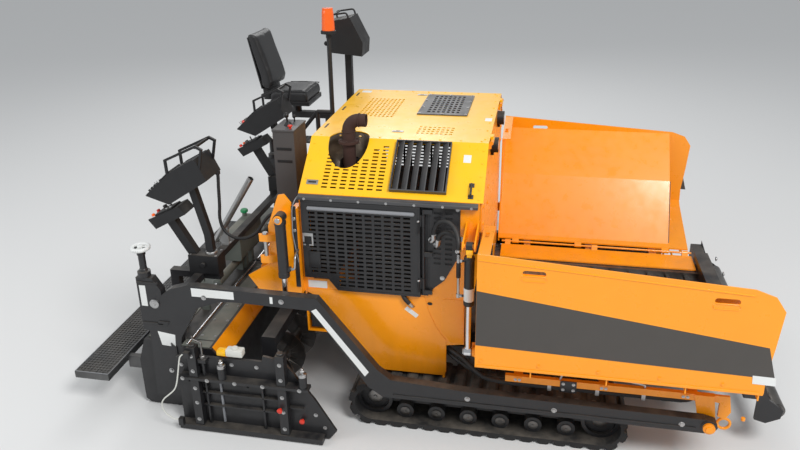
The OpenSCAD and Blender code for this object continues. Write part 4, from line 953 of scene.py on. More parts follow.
piece("hood_latches", "hood", ("zinc", latches), ("black_plastic", latch_keys))
piece("hood_hook", "hood", ("black_enamel", hook))


def hood_labels(bm):
    box(bm, (HOOD_REAR + 0.05, 0.57, HOOD_TOP), (HOOD_REAR + 0.13, 0.635, HOOD_TOP + 0.0008))
    box(bm, (0.385, -0.16, HOOD_TOP), (0.435, -0.08, HOOD_TOP + 0.0008))
    slope_box(bm, 0.30, 0.35, 0.10, 0.16, 0, 0.0008)


piece("hood_labels", "hood", ("white_label", hood_labels))
print("hood dressed")

# %% [markdown]
# ## Exhaust
#
# Under the oval opening sits a dished heat shield, bright at the rim and brown where it gets hot. It is a
# lofted shell: each ring of it follows the opening, and lower rings are smaller. The outlet carries a weld
# bead and a ring of flange bolts.

# %% Heat shield and flange
EXHAUST = Vector((-0.495, -0.700, 0))
WELD_RADIUS, BEAD = 0.0455, 0.004


def hood_height(y):
    y = abs(y)
    return HOOD_TOP - max(0.0, y - CREASE) * math.tan(SLOPE)


def heat_shield(bm):
    rings, count = [], 40
    for level, size in ((0.010, 1.03), (0.016, 0.985), (0.05, 0.95), (0.10, 0.86), (0.145, 0.70),
                        (0.16, 0.5)):
        ring = []
        for i in range(count):
            a = 2 * math.pi * i / count
            x, y = 0.140 * size * math.cos(a), 0.175 * size * math.sin(a)
            ring.append(bm.verts.new((EXHAUST.x + x, EXHAUST.y + y, hood_height(EXHAUST.y + y) - level)))
        rings.append(ring)
    skin(bm, rings, closed_ends=False)
    bmesh.ops.solidify(bm, geom=bm.faces[:], thickness=0.003)


piece("heat_shield", "chassis", ("heat_shield", heat_shield))


def weld_beads(bm):
    for z in (1.9655, 2.028):
        tube(bm, circle((EXHAUST.x, EXHAUST.y, z), WELD_RADIUS, AHEAD, LEFT), BEAD, 6)
    tube(bm, circle((-0.420, EXHAUST.y, 2.105), WELD_RADIUS, LEFT, UP), BEAD, 6)


piece("exhaust_welds", "chassis", ("rust", weld_beads))
flange = [(tuple(p), UP) for p in circle((EXHAUST.x, EXHAUST.y, 1.963), 0.059, AHEAD, LEFT, 12)[1::2]]
fasteners("exhaust_bolts", "chassis", "rust", flange, 0.007, 0.006, 0.010)
print("exhaust dressed")

# %% [markdown]
# ## Doors, vent plates and the body's sides
#
# The doors are sheet steel with rows of slots, already cut in the CAD. What is added is what a hand or a
# spanner meets: the sprung latch in its bright frame, the hinge pins, the folded rim and the screws.

# %% Engine doors
DOOR_FACE, VENT_FACE = 1.072, 1.046


def plate_on_side(bm, outline, sign, face, thick, bevel=0.001):
    """A plate on a side of the machine, from an outline in x and z."""
    prism(bm, outline, "y", sign * face, sign * (face + thick), bevel)


def side_box(bm, x0, x1, z0, z1, sign, y0, y1, bevel=0.001):
    box(bm, (x0, min(sign * y0, sign * y1), z0), (x1, max(sign * y0, sign * y1), z1), bevel)


HINGE_X, HINGE_HEIGHTS = 0.046, (1.56, 1.13)


def door_layers(sign):
    hinge_y = sign * (DOOR_FACE + 0.009)

    def rim(bm):
        for x0, x1, z0, z1 in ((-0.744, 0.054, 1.641, 1.654), (0.041, 0.054, 1.001, 1.641),
                               (-0.744, -0.731, 1.086, 1.641), (-0.514, 0.041, 1.001, 1.013),
                               (-0.731, -0.582, 1.086, 1.098)):
            side_box(bm, x0, x1, z0, z1, sign, DOOR_FACE, DOOR_FACE + 0.003)
        side_box(bm, -0.705, -0.625, 1.165, 1.285, sign, DOOR_FACE, DOOR_FACE + 0.008, 0.003)

    def bar(bm):
        y, z = sign * (DOOR_FACE + 0.006), 1.602
        rod(bm, (-0.70, y, z), (0.02, y, z), 0.013, 14, 0.006)

    def latch_frame(bm):
        for x0, x1, z0, z1 in ((-0.742, -0.668, 1.396, 1.420), (-0.680, -0.668, 1.328, 1.396),
                               (-0.700, -0.680, 1.328, 1.338), (-0.742, -0.722, 1.328, 1.338),
                               (-0.742, -0.730, 1.352, 1.396)):
            side_box(bm, x0, x1, z0, z1, sign, DOOR_FACE, DOOR_FACE + 0.006, 0.0015)
        for z in HINGE_HEIGHTS:
            rod(bm, (HINGE_X, hinge_y, z + 0.006), (HINGE_X, hinge_y, z - 0.006), 0.011, 14)

    def paddle(bm):
        prism(bm, [(-0.730, 1.342), (-0.684, 1.342), (-0.684, 1.392), (-0.722, 1.392)], "y",
              sign * (DOOR_FACE + 0.001), sign * (DOOR_FACE + 0.010), 0.002)
        for z in HINGE_HEIGHTS:
            rod(bm, (HINGE_X, hinge_y, z - 0.006), (HINGE_X, hinge_y, z - 0.085), 0.006, 12)
    return ("black_enamel", rim), ("pale_grey", bar), ("zinc", latch_frame), ("black_plastic", paddle)


both_sides("door_dress", "engine_door_SIDE", door_layers)

vent_screws = [((x, s * VENT_FACE, z), (0, s, 0)) for s in (-1, 1)
               for x, z in ((0.298, 1.642), (0.298, 1.345), (0.199, 1.142))]
fasteners("vent_screws", "chassis", "zinc", vent_screws, 0.011, 0.006, 0.016, 16)


def vent_layers(sign):
    def rim(bm):
        for x0, x1, z0, z1 in ((0.106, 0.312, 1.662, 1.674), (0.300, 0.312, 1.330, 1.662),
                               (0.106, 0.114, 1.030, 1.662)):
            side_box(bm, x0, x1, z0, z1, sign, VENT_FACE, VENT_FACE + 0.0025)
    return (("black_enamel", rim),)


both_sides("vent_rim", "chassis", vent_layers)


def shade_behind_slots_layers(sign):
    """Black sheets on the body behind the slots, as painted shade, so that no orange paint shows through
    them.
    """
    def shade_sheets(bm):
        prism(bm, [(0.107, 1.673), (0.311, 1.673), (0.311, 1.322), (0.2145, 1.131), (0.107, 1.031)], "y",
              sign * 1.0401, sign * 1.0412)
        for x0, x1, z0, z1 in ((0.054, 0.1048, 1.0, 1.655), (-0.740, -0.694, 1.09, 1.65),
                               (-0.500, 0.050, 1.005, 1.061), (0.019, 0.050, 1.061, 1.65),
                               (-0.694, 0.019, 1.604, 1.65)):
            side_box(bm, x0, x1, z0, z1, sign, 1.0401, 1.0440)
    return (("black_plastic", shade_sheets),)


# One piece a side of painted shade, behind the slots of the doors and vent plates.
both_sides("painted_shade_behind_slots", "chassis", shade_behind_slots_layers)
print("doors dressed")

# %% [markdown]
# A thin outer skin with cut-off corners lies on each side of the body, and a small second one stands in
# front of it. Both are outlines in x and z that are given a thickness. The labels are blank.

# %% The body's sides: two skins, their holes and blank labels
SKIN = [(0.082, 0.985), (0.100, 0.905), (0.124, 0.835), (0.158, 0.762), (0.198, 0.700), (0.228, 0.664),
        (0.228, 0.404), (0.199, 0.373), (-0.244, 0.373), (-0.328, 0.432), (-0.697, 0.930), (-0.742, 0.955),
        (-0.742, 0.985)]
FRONT_SKIN = [(0.192, 0.955), (0.205, 0.975), (0.225, 0.984), (0.345, 0.984), (0.345, 0.646), (0.262, 0.646),
             (0.242, 0.672), (0.192, 0.735)]


def skin_layers(sign):
    def skins(bm):
        plate_on_side(bm, SKIN, sign, BODY_SIDE, 0.004, 0.0012)
        plate_on_side(bm, FRONT_SKIN, sign, BODY_SIDE, 0.003, 0.001)
        rod(bm, (0.214, sign * 1.034, 0.404), (0.214, sign * 1.034, 0.352), 0.010, 14)

    def holes(bm):
        # The holes are flat black discs, painted shade for the dark inside of each hole.
        # Columns: x, z, width, height and how far the skin there stands out of the body
        for x, z, width, height, out in ((0.116, 0.939, 0.034, 0.022, 0.0041),
                                         (0.205, 0.89, 0.010, 0.010, 0.0001),
                                         (0.268, 0.872, 0.010, 0.010, 0.0001)):
            turns = [i * math.pi / 10 for i in range(20)]
            ring = [(x + width / 2 * math.cos(a), z + height / 2 * math.sin(a)) for a in turns]
            plate_on_side(bm, ring, sign, BODY_SIDE + out, 0.0006, 0)
    return ("orange_enamel", skins), ("black_plastic", holes)


both_sides("side_skin", "chassis", skin_layers)


def side_labels(bm):
    side_box(bm, -0.735, -0.600, 0.990, 1.045, -1, BODY_SIDE, BODY_SIDE + 0.001, 0)
    middle, half_length, half_width = Vector((-0.010, 0.862)), 0.05, 0.016
    angle = math.radians(-37)
    along = Vector((math.cos(angle), math.sin(angle))) * half_length
    across = Vector((-math.sin(angle), math.cos(angle))) * half_width
    label = [middle + a * along + b * across for a, b in ((-1, -1), (1, -1), (1, 1), (-1, 1))]
    plate_on_side(bm, label, -1, BODY_SIDE + 0.004, 0.001, 0)


def drain_hose(bm):
    route = [(-0.075, -1.032, 1.000), (-0.066, -1.052, 0.990), (-0.045, -1.062, 0.963),
             (-0.022, -1.062, 0.938)]
    tube(bm, smooth_path(route, 5), 0.015, 12)


def drain_fitting(bm):
    rod(bm, (-0.024, -1.062, 0.940), (0.000, -1.060, 0.914), 0.0125, 12)
    rod(bm, (-0.004, -1.058, 0.918), (0.006, -1.046, 0.908), 0.009, 12)


piece("side_labels", "chassis", ("white_label", side_labels))
piece("drain_hose", "chassis", ("hose_rubber", drain_hose), ("zinc", drain_fitting))
print("body sides dressed")

# %% [markdown]
# ## Lift towers and cylinders
#
# The towers carry the screed's lift cylinders on big pins. The bright pin in the tower's lugs locks the
# raised screed. Each cylinder gets its gland nut, ports and a wiper ring at the rod.

# %% Towers
TOWER_FACE = 1.100
LOCK_PIN_X, LOCK_PIN_Y = -0.990, 1.117
LIFT_X, LIFT_Y = -0.849, 1.190
WING_CYLINDER_X, WING_CYLINDER_Y = 0.396, 1.250
OIL_LINE_X = 0.328


def tower_layers(sign):
    def strip(bm):
        side_box(bm, -0.799, -0.768, 1.02, 1.62, sign, TOWER_FACE - 0.002, TOWER_FACE + 0.004, 0.0015)

    def bright(bm):
        for low, high, radius in ((1.250, 1.362, 0.0152), (1.410, 1.424, 0.019)):
            rod(bm, (LOCK_PIN_X, sign * LOCK_PIN_Y, low), (LOCK_PIN_X, sign * LOCK_PIN_Y, high), radius, 18)
        for z in (1.447, 1.531):
            rod(bm, (-0.783, sign * 1.104, z), (-0.783, sign * 1.111, z), 0.012, 16)
        rod(bm, (LIFT_X, sign * 1.233, 1.569), (LIFT_X, sign * 1.244, 1.569), 0.019, 8)

    def welds(bm):
        for z in (1.200, 1.252, 1.360, 1.410):
            bead = [(-0.998, sign * 1.101, z), (-0.950, sign * 1.102, z), (-0.912, sign * 1.101, z)]
            tube(bm, bead, BEAD, 8)
    return ("black_enamel", strip), ("zinc", bright), ("orange_enamel", welds)


both_sides("tower_dress", "chassis", tower_layers)


def tower_cable(bm):
    # Thin and pale, from the rain strip's rear end down the tower and in again
    route = [(-0.766, -1.062, 1.672), (-0.774, -1.100, 1.655), (-0.790, -1.110, 1.60), (-0.794, -1.110, 1.50),
             (-0.796, -1.110, 1.42), (-0.785, -1.110, 1.33), (-0.775, -1.108, 1.25), (-0.770, -1.092, 1.17)]
    tube(bm, smooth_path(route, 5), 0.004, 10)


piece("tower_cable", "chassis", ("pale_grey", tower_cable))


def lift_cylinder_layers(sign):
    x, y = LIFT_X, sign * LIFT_Y

    def rings(bm):
        foot = [(0, 0.022), (0.0, 0.034), (0.004, 0.0385), (0.030, 0.0385), (0.034, 0.0362)]
        head = [(0, 0.0362), (0.006, 0.040), (0.028, 0.040), (0.034, 0.0362)]
        lathe(bm, (x, y, 1.140), UP, foot, 28)
        lathe(bm, (x, y, 1.520), UP, head, 28)
        box(bm, (x + 0.030, y - 0.014, 1.186), (x + 0.052, y + 0.014, 1.214), 0.003)

    def port(bm):
        rod(bm, (x + 0.050, y, 1.200), (x + 0.066, y, 1.200), 0.0105, 6)
        route = [(x + 0.062, y, 1.200), (x + 0.074, y, 1.204), (x + 0.080, y, 1.226), (x + 0.084, y, 1.262),
                 (x + 0.082, y * 0.985, 1.290), (x + 0.078, y * 0.925, 1.305)]
        tube(bm, smooth_path(route, 5), 0.0085, 12)
    return ("black_enamel", rings), ("zinc", port)


both_sides("lift_cylinder_dress", "lift_barrel_SIDE", lift_cylinder_layers)


def wing_cylinder_layers(sign):
    x, y = WING_CYLINDER_X, sign * WING_CYLINDER_Y

    def rings(bm):
        foot = [(0, 0.019), (0, 0.032), (0.004, 0.0345), (0.026, 0.0345), (0.030, 0.0322)]
        head = [(0, 0.0322), (0.005, 0.0345), (0.020, 0.0345), (0.028, 0.028)]
        lathe(bm, (x, y, 1.079), UP, foot, 26)
        lathe(bm, (x, y, 1.392), UP, head, 26)

    def cap(bm):
        box(bm, (x - 0.022, y - 0.024, 1.440), (x + 0.022, y + 0.024, 1.474), 0.004)
        box(bm, (x - 0.016, y - 0.020, 1.416), (x + 0.016, y + 0.020, 1.440), 0.003)

    def label(bm):
        lathe(bm, (x, y, 1.112), UP, [(0, 0.0324), (0.0005, 0.0328), (0.0905, 0.0328), (0.091, 0.0324)], 26)
    layers = [("black_enamel", rings), ("yellow_enamel", cap)]
    if sign < 0:
        layers.append(("white_label", label))
    return layers


both_sides("wing_cylinder_dress", "wing_barrel_SIDE", wing_cylinder_layers)


def oil_line_steel(bm):
    x, y = OIL_LINE_X, -WING_CYLINDER_Y
    rod(bm, (x, y, 1.386), (x, y, 1.432), 0.0125, 6)
    rod(bm, (x, y, 1.134), (x, y, 1.272), 0.009, 14)
    for z in (1.140, 1.386):
        rod(bm, (x, y, z), (x + 0.024, y, z), 0.0105, 6)
        rod(bm, (x, y, z - 0.014), (x, y, z + 0.014), 0.0135, 6)


def oil_line_sleeve(bm):
    profile = [(0, 0.009), (0.003, 0.0145), (0.100, 0.0145), (0.106, 0.012)]
    lathe(bm, (OIL_LINE_X, -WING_CYLINDER_Y, 1.266), UP, profile, 18)


piece("oil_line", "wing_barrel_right", ("zinc", oil_line_steel), ("hose_rubber", oil_line_sleeve))
print("towers and cylinders dressed")

# %% [markdown]
# Dark sheets on the engine bay's floor, rear wall and sides are painted shade: they stand in for the shade
# inside the bay, which would otherwise show as orange walls through every slot.

# %% Painted shade in the engine bay
def painted_bay_shade(bm):
    """Painted shade: dark sheets on the bay's floor and rear wall, seen through the slots and with the hood
    open.
    """
    box(bm, (-0.750, -0.990, 0.6405), (0.345, -0.345, 0.648), 0.002)
    box(bm, (-0.750, 0.345, 0.6405), (0.345, 0.990, 0.648), 0.002)
    box(bm, (-0.7505, -0.900, 0.70), (-0.742, 0.990, 1.60), 0.002)
    box(bm, (-0.7505, -1.000, 0.70), (-0.742, -0.975, 1.60), 0.002)
    for s in (-1, 1):
        side_box(bm, -0.735, 0.33, 0.66, 1.050, s, 1.0125, 1.0215, 0.001)


# This piece is painted shade: dark sheets where the bay is only in shade.
piece("bay_painted_shade", "chassis", ("sooty_iron_and_painted_shade", painted_bay_shade))
print("engine bay shaded")

# %% [markdown]
# ## Tow arms, depth cranks and end gates
#
# The arms are thick cut plates. Their faces carry bolts, a doubler at the front pin and, on the right side,
# blank labels. The two cranks at the rear set the depth of the mat: each has a bright ring wheel on a screw.

# %% Tow arms
ARM_FACE = 1.295
ARM_PIN_X, ARM_PIN_Z = 1.920, 0.372


def arm_layers(sign):
    def steel(bm):
        doubler = [(0, 0.047), (0.004, 0.047), (0.006, 0.044), (0.006, 0.028), (0, 0.028)]
        lathe(bm, (ARM_PIN_X, sign * ARM_FACE, ARM_PIN_Z), (0, sign, 0), doubler, 32)
        for outline, thick, bevel in (
                ([(-0.10, 0.352), (1.845, 0.352), (1.845, 0.362), (-0.10, 0.362)], 0.006, 0.001),
                ([(-1.775, 0.735), (-1.700, 0.735), (-1.680, 0.768), (-1.760, 0.768)], 0.008, 0.002),
                ([(-1.690, 0.200), (-1.650, 0.200), (-1.650, 0.560), (-1.690, 0.600)], 0.010, 0.002)):
            plate_on_side(bm, outline, sign, ARM_FACE, thick, bevel)

    def boss(bm):
        profile = [(0, 0.034), (0.010, 0.034), (0.013, 0.030), (0.013, 0.012), (0.018, 0.010)]
        lathe(bm, (-1.772, sign * ARM_FACE, 0.905), (0, sign, 0), profile, 24)
    return ("black_enamel", steel), ("zinc", boss)


both_sides("arm_dress", "screed", arm_layers)
ARM_BOLTS = ((-0.846, 1.005), (0.405, 0.388), (0.970, 0.372), (1.760, 0.372), (-1.40, 0.985), (-1.72, 0.36))
arm_bolts = [((x, s * ARM_FACE, z), (0, s, 0)) for s in (-1, 1) for x, z in ARM_BOLTS]
fasteners("arm_bolts", "screed", "zinc", arm_bolts, 0.013, 0.010, 0.019)


def arm_labels(bm):
    for outline in ([(-1.486, 0.988), (-1.180, 0.990), (-1.180, 1.048), (-1.486, 1.052)],
                    [(-0.640, 0.956), (-0.606, 0.976), (-0.262, 0.520), (-0.290, 0.482)],
                    [(-0.925, 0.985), (-0.905, 0.985), (-0.905, 1.035), (-0.925, 1.035)]):
        plate_on_side(bm, outline, -1, ARM_FACE, 0.001, 0)


def arm_sign(bm):
    outline = [(-1.782, 0.682), (-1.652, 0.664), (-1.660, 0.566), (-1.762, 0.572)]
    plate_on_side(bm, outline, -1, ARM_FACE, 0.003, 0.001)


piece("arm_labels", "screed", ("white_label", arm_labels))
piece("arm_sign", "screed", ("white_label", arm_sign))
print("arms dressed")

# %% [markdown]
# A depth crank's wheel is a ring on three spokes. The ring is a bar swept round a circle, and each spoke is
# one rod from the nut to the ring.

# %% Depth cranks
CRANK_X, CRANK_Y, WHEEL_RADIUS = -1.835, 1.265, 0.055


def crank_layers(sign):
    x, y = CRANK_X, sign * CRANK_Y

    def bright(bm):
        tube(bm, circle((x, y, 1.315), WHEEL_RADIUS, AHEAD, LEFT, 36), 0.0146, 12)
        lathe(bm, (x, y, 1.303), UP, [(0, 0.016), (0.002, 0.02), (0.026, 0.02), (0.030, 0.012)], 18)
        for a in (0.4, 2.5, 4.6):
            spoke = Vector((math.cos(a), math.sin(a), 0))
            hub = Vector((x, y, 1.3195))
            rod(bm, hub + 0.015 * spoke, hub + 0.05 * spoke, 0.006, 10)

    def sleeves(bm):
        foot = [(0, 0.040), (0.004, 0.044), (0.040, 0.044), (0.046, 0.030), (0.060, 0.0265), (0.062, 0.0245)]
        lathe(bm, (x, y, 1.100), UP, foot, 24)
        lathe(bm, (x, y, 1.262), UP, [(0, 0.0245), (0.003, 0.029), (0.030, 0.029), (0.034, 0.0245)], 24)
        for z in (0.74, 1.06):
            side_box(bm, -1.884, -1.725, z, z + 0.012, sign, ARM_FACE, ARM_FACE + 0.008, 0.002)
    return ("white_label", bright), ("black_enamel", sleeves)


both_sides("crank_dress", "screed", crank_layers)


def crank_plate(bm):
    side_box(bm, -1.872, -1.826, 0.880, 1.040, -1, ARM_FACE, ARM_FACE + 0.001, 0)


piece("crank_plate", "screed", ("white_label", crank_plate))
print("cranks dressed")

# %% [markdown]
# Each end gate is a plate with ribs, posts and a flange, and springs let it ride on the ground. Its screw at
# the rear post sets its height. The right gate carries a sensor with a yellow head.

# %% End gates
GATE_FACE, POST_FACE, FLANGE_FACE = 1.399, 1.460, 1.470
POSTS = (-1.460, -0.830)


def gate_layers(sign):
    def frame_parts(bm):
        # Ribs between the posts, gussets under the flange and caps on the posts
        for x0, x1, z0, z1 in ((-1.428, -0.862, 0.300, 0.312), (-1.428, -0.862, 0.196, 0.208),
                               (-1.400, -1.386, 0.052, 0.428), (-0.99, -0.976, 0.052, 0.428),
                               (-0.798, -0.70, 0.250, 0.262)):
            side_box(bm, x0, x1, z0, z1, sign, GATE_FACE, 1.428, 0.002)
        gusset = [(sign * GATE_FACE, 0.431), (sign * POST_FACE, 0.431), (sign * GATE_FACE, 0.360)]
        for x in (-1.53, -1.10, -0.74):
            prism(bm, gusset, "x", x, x + 0.008)
        for x in POSTS:
            rod(bm, (x, sign * 1.430, 0.684), (x, sign * 1.430, 0.700), 0.024, 20)

    def springs(bm):
        y = sign * 1.440
        profile = [(0, 0.026), (0.002, 0.0295), (0.020, 0.0295), (0.024, 0.024), (0.026, 0.010),
                   (0.060, 0.010), (0.062, 0.008)]
        for x in (-1.258, -0.681):
            lathe(bm, (x, y, 0.538), UP, profile, 20)
            rod(bm, (x, y, 0.572), (x, y, 0.586), 0.016, 6)

    def strip(bm):
        side_box(bm, -1.300, -1.286, 0.06, 0.425, sign, GATE_FACE, 1.4125, 0.001)

    def knobs(bm):
        profile = [(0, 0.006), (0.016, 0.006), (0.018, 0.017), (0.030, 0.019), (0.034, 0.014), (0.035, 0.002)]
        for x, y, z in ((-0.845, POST_FACE + 0.001, 0.270), (-0.715, GATE_FACE, 0.150)):
            lathe(bm, (x, sign * y, z), (0, sign, 0), profile, 18)
    return ("black_enamel", frame_parts), ("zinc", springs), ("pale_grey", strip), ("red_plastic", knobs)


both_sides("gate_dress", "extension_SIDE", gate_layers)
for s, word in SIDES:
    gate_bolts = [(x, POST_FACE + 0.0005, z) for x in POSTS for z in (0.10, 0.24, 0.36, 0.50, 0.62)]
    gate_bolts += [(x, FLANGE_FACE + 0.0005, 0.440) for x in (-1.54, -1.36, -1.16, -0.96, -0.70)]
    gate_bolts += [(x, GATE_FACE + 0.0015, z) for x, z in ((-1.575, 0.50), (-1.20, 0.54), (-1.02, 0.54),
                                                           (-0.62, 0.20), (-0.56, 0.10))]
    fasteners("gate_bolts_" + word, "extension_" + word, "zinc",
              [((x, s * y, z), (0, s, 0)) for x, y, z in gate_bolts], 0.010, 0.007, 0.015)


def gate_screw_layers(sign):
    # Handle of the gate's height screw, with its nut, at the rear post
    x, y = -1.395, sign * 1.425

    def crank(bm):
        grip_x, grip_y = -1.47, sign * 1.395
        corners = [(x, y, 0.60), (x, y, 0.715), (grip_x, grip_y, 0.715), (grip_x, grip_y, 0.745)]
        bent_bar(bm, corners, 0.008, 0.02)
        rod(bm, (x, y, 0.585), (x, y, 0.612), 0.018, 6)

    def collar(bm):
        side_box(bm, x - 0.030, x + 0.030, 0.560, 0.588, sign, GATE_FACE, 1.448, 0.004)
        rod(bm, (x, y, 0.450), (x, y, 0.562), 0.012, 14)
    return ("worn_steel", crank), ("black_enamel", collar)


both_sides("gate_screw", "extension_SIDE", gate_screw_layers)


def sensor_box(bm):
    box(bm, (-1.238, -1.398, 0.600), (-1.118, -1.338, 0.652), 0.008)
    rod(bm, (-1.178, -1.368, 0.652), (-1.178, -1.368, 0.664), 0.022, 20)


def sensor_yellow(bm):
    box(bm, (-1.305, -1.396, 0.600), (-1.240, -1.342, 0.636), 0.006)


piece("gate_sensor", "extension_right", ("cable_white", sensor_box), ("yellow_enamel", sensor_yellow))
print("gates dressed")

# %% [markdown]
# ## Extensions, screed top and walkway
#
# The covers are grey with old asphalt dust. A bright slide bar runs along the rear edge of each extension,
# and an orange edge along its front. The screed's top has cover plates with handles, a tank cap and the
# glands of two cross cylinders.

# %% Extension covers
def extension_layers(sign):
    def bright(bm):
        rod(bm, (-1.560, sign * 0.03, 0.6045), (-1.560, sign * 1.31, 0.6045), 0.010, 14)

    def orange(bm):
        edge = [(-1.377, 0.5995), (-1.302, 0.5095), (-1.302, 0.490), (-1.2995, 0.490), (-1.2995, 0.5105),
                (-1.375, 0.6025)]
        prism(bm, edge, "y", sign * 0.02, sign * 1.31)

    def cover(bm):
        side_box(bm, -1.525, -1.395, 0.599, 0.604, sign, 0.06, 1.23, 0.001)
        side_box(bm, -1.600, -1.390, 0.599, 0.606, sign, 1.245, 1.322, 0.002)
    return ("chrome", bright), ("orange_enamel", orange), ("tank_grey", cover)


both_sides("extension_dress", "extension_SIDE", extension_layers)
for s, word in SIDES:
    cover_bolts = []
    for x in (-1.41, -1.51):
        cover_bolts += row((x, s * 0.12, 0.604), (x, s * 1.18, 0.604), 6, UP)
    fasteners("extension_bolts_" + word, "extension_" + word, "zinc", cover_bolts, 0.007, 0.005, 0.011)


CAP_X, CAP_Y = -1.700, 0.155
CROSS_X, CROSS_Z = -1.670, 0.664


def screed_top(bm):
    for sign in (-1, 1):
        side_box(bm, -1.925, -1.72, 0.560, 0.565, sign, 0.30, 1.20, 0.001)
        for y in (0.36, 0.78):
            handle = [(y, 0.563), (y, 0.592), (y + 0.11, 0.592), (y + 0.11, 0.563)]
            bent_bar(bm, [(-1.88, sign * out, z) for out, z in handle], 0.006, 0.014)


def tank_cap(bm):
    profile = [(0, 0.0285), (0.002, 0.0300), (0.022, 0.0300), (0.0275, 0.026), (0.0275, 0.002)]
    lathe(bm, (CAP_X, CAP_Y, 0.982), UP, profile, 24)
    for x, y, z in circle((CAP_X, CAP_Y, 0.985), 0.0295, AHEAD, LEFT, 12)[:12]:
        rod(bm, (x, y, z), (x, y, 1.004), 0.003, 6)


def cylinder_ends(bm):
    gland = [(0, 0.034), (0.002, 0.0375), (0.020, 0.0375), (0.022, 0.034)]
    for sign in (-1, 1):
        for y in (0.115, 0.530):
            lathe(bm, (CROSS_X, sign * y, CROSS_Z), (0, sign, 0), gland, 24)


def cylinder_rods(bm):
    for sign in (-1, 1):
        rod(bm, (CROSS_X, sign * 0.553, CROSS_Z), (CROSS_X, sign * 0.755, CROSS_Z), 0.0163, 20, 0)
        for y in (0.16, 0.50):
            rod(bm, (CROSS_X, sign * y, 0.70), (CROSS_X, sign * y, 0.716), 0.010, 6)


piece("screed_top_dress", "screed", ("tank_grey", screed_top), ("green_plastic", tank_cap))
piece("screed_cylinder_dress", "screed", ("tank_grey", cylinder_ends), ("chrome", cylinder_rods))
print("screed's top dressed")

# %% [markdown]
# The walkway's grip is a raised mesh of bars with small openings. One rectangle of bar, repeated by Geometry
# Nodes on a grid whose every second row is moved by half a step, makes the whole of it.

# %% Raised mesh on the walkway
def tread_tree():
    """One rectangle of raised bar on each point of a mesh."""
    tree, start, end = new_tree("raised mesh", [
        ("Length", "NodeSocketFloat", 0.06), ("Width", "NodeSocketFloat", 0.03),
        ("Bar", "NodeSocketFloat", 0.0025), ("Material", "NodeSocketMaterial", None)])
    add, link = tree.nodes.new, tree.links.new
    rectangle = add("GeometryNodeCurvePrimitiveQuadrilateral")
    profile = add("GeometryNodeCurvePrimitiveCircle")
    profile.inputs["Resolution"].default_value = 4
    sweep, spread = add("GeometryNodeCurveToMesh"), add("GeometryNodeInstanceOnPoints")
    link(start.outputs["Length"], rectangle.inputs["Width"])
    link(start.outputs["Width"], rectangle.inputs["Height"])
    link(start.outputs["Bar"], profile.inputs["Radius"])
    link(rectangle.outputs["Curve"], sweep.inputs["Curve"])
    link(profile.outputs["Curve"], sweep.inputs["Profile Curve"])
    link(start.outputs["Geometry"], spread.inputs["Points"])
    link(sweep.outputs["Mesh"], spread.inputs["Instance"])
    close_tree(tree, spread.outputs[0], start, end)
    return tree


TREAD_START, TREAD_STEP_X, TREAD_STEP_Y, TREAD_Z = (-2.431, -1.335), 0.0268, 0.057, 0.3115
places = []
for i in range(9):
    for j in range(47):
        half_step = TREAD_STEP_Y / 2 if i % 2 else 0
        x, y = TREAD_START[0] + TREAD_STEP_X * i, TREAD_START[1] + TREAD_STEP_Y * j + half_step
        places.append((x, y, TREAD_Z))
tread = bpy.data.meshes.new("tread_places")
tread.from_pydata(places, [], [])
run_tree("walkway_tread", tread, tread_tree(), "screed", "tread_metal", Length=0.052, Width=0.054, Bar=0.0028)


def walkway_edges(bm):
    for x in (-2.459, -2.195):
        box(bm, (x, -1.363, 0.309), (x + 0.004, 1.363, 0.3165), 0.001)
    for y in (-1.363, 1.358):
        box(bm, (-2.459, y, 0.309), (-2.191, y + 0.005, 0.3165), 0.001)


piece("walkway_edges", "screed", ("pale_grey", walkway_edges))
print("screed dressed")

# %% [markdown]
# ## Consoles
#
# Each screed console has a tilted panel under a wire loop, and a smaller control box on a square arm. A
# panel is a slanted plane, so `panel_box` and `panel_knob` take metres along it, across it and out of it.

# %% Blocks and knobs on a slanted panel
def panel_axes(a, b):
    """The start of a panel from a to b, both (x, z), with the directions along it and out of it."""
    run = (Vector(b) - Vector(a)).normalized()
    return Vector(a), run, Vector((-run.y, run.x))


def panel_box(bm, a, b, along, across, out, bevel=0.001):
    """A block that spans two distances along the panel, in y and out of it."""
    a, run, up_by = panel_axes(a, b)
    ends = ((along[0], out[0]), (along[1], out[0]), (along[1], out[1]), (along[0], out[1]))
    prism(bm, [a + run * t + up_by * h for t, h in ends], "y", across[0], across[1], bevel)


def panel_knob(bm, a, b, along, y, out, radius, height, count=18, base=0.0):
    a, run, up_by = panel_axes(a, b)
    foot = a + run * along + up_by * out
    tip = Vector((foot.x + up_by.x * height, y, foot.y + up_by.y * height))
    start = Vector((foot.x, y, foot.y))
    if base:
        rod(bm, start, start.lerp(tip, 0.3), base, count)
    rod(bm, start, tip, radius, count, radius * 0.25)


# %% Screed consoles
PANEL = ((-1.821, 1.640), (-1.629, 1.812))
UPPER = ((-1.629, 1.812), (-1.433, 1.920))
LOWER = ((-1.854, 1.442), (-1.617, 1.555))


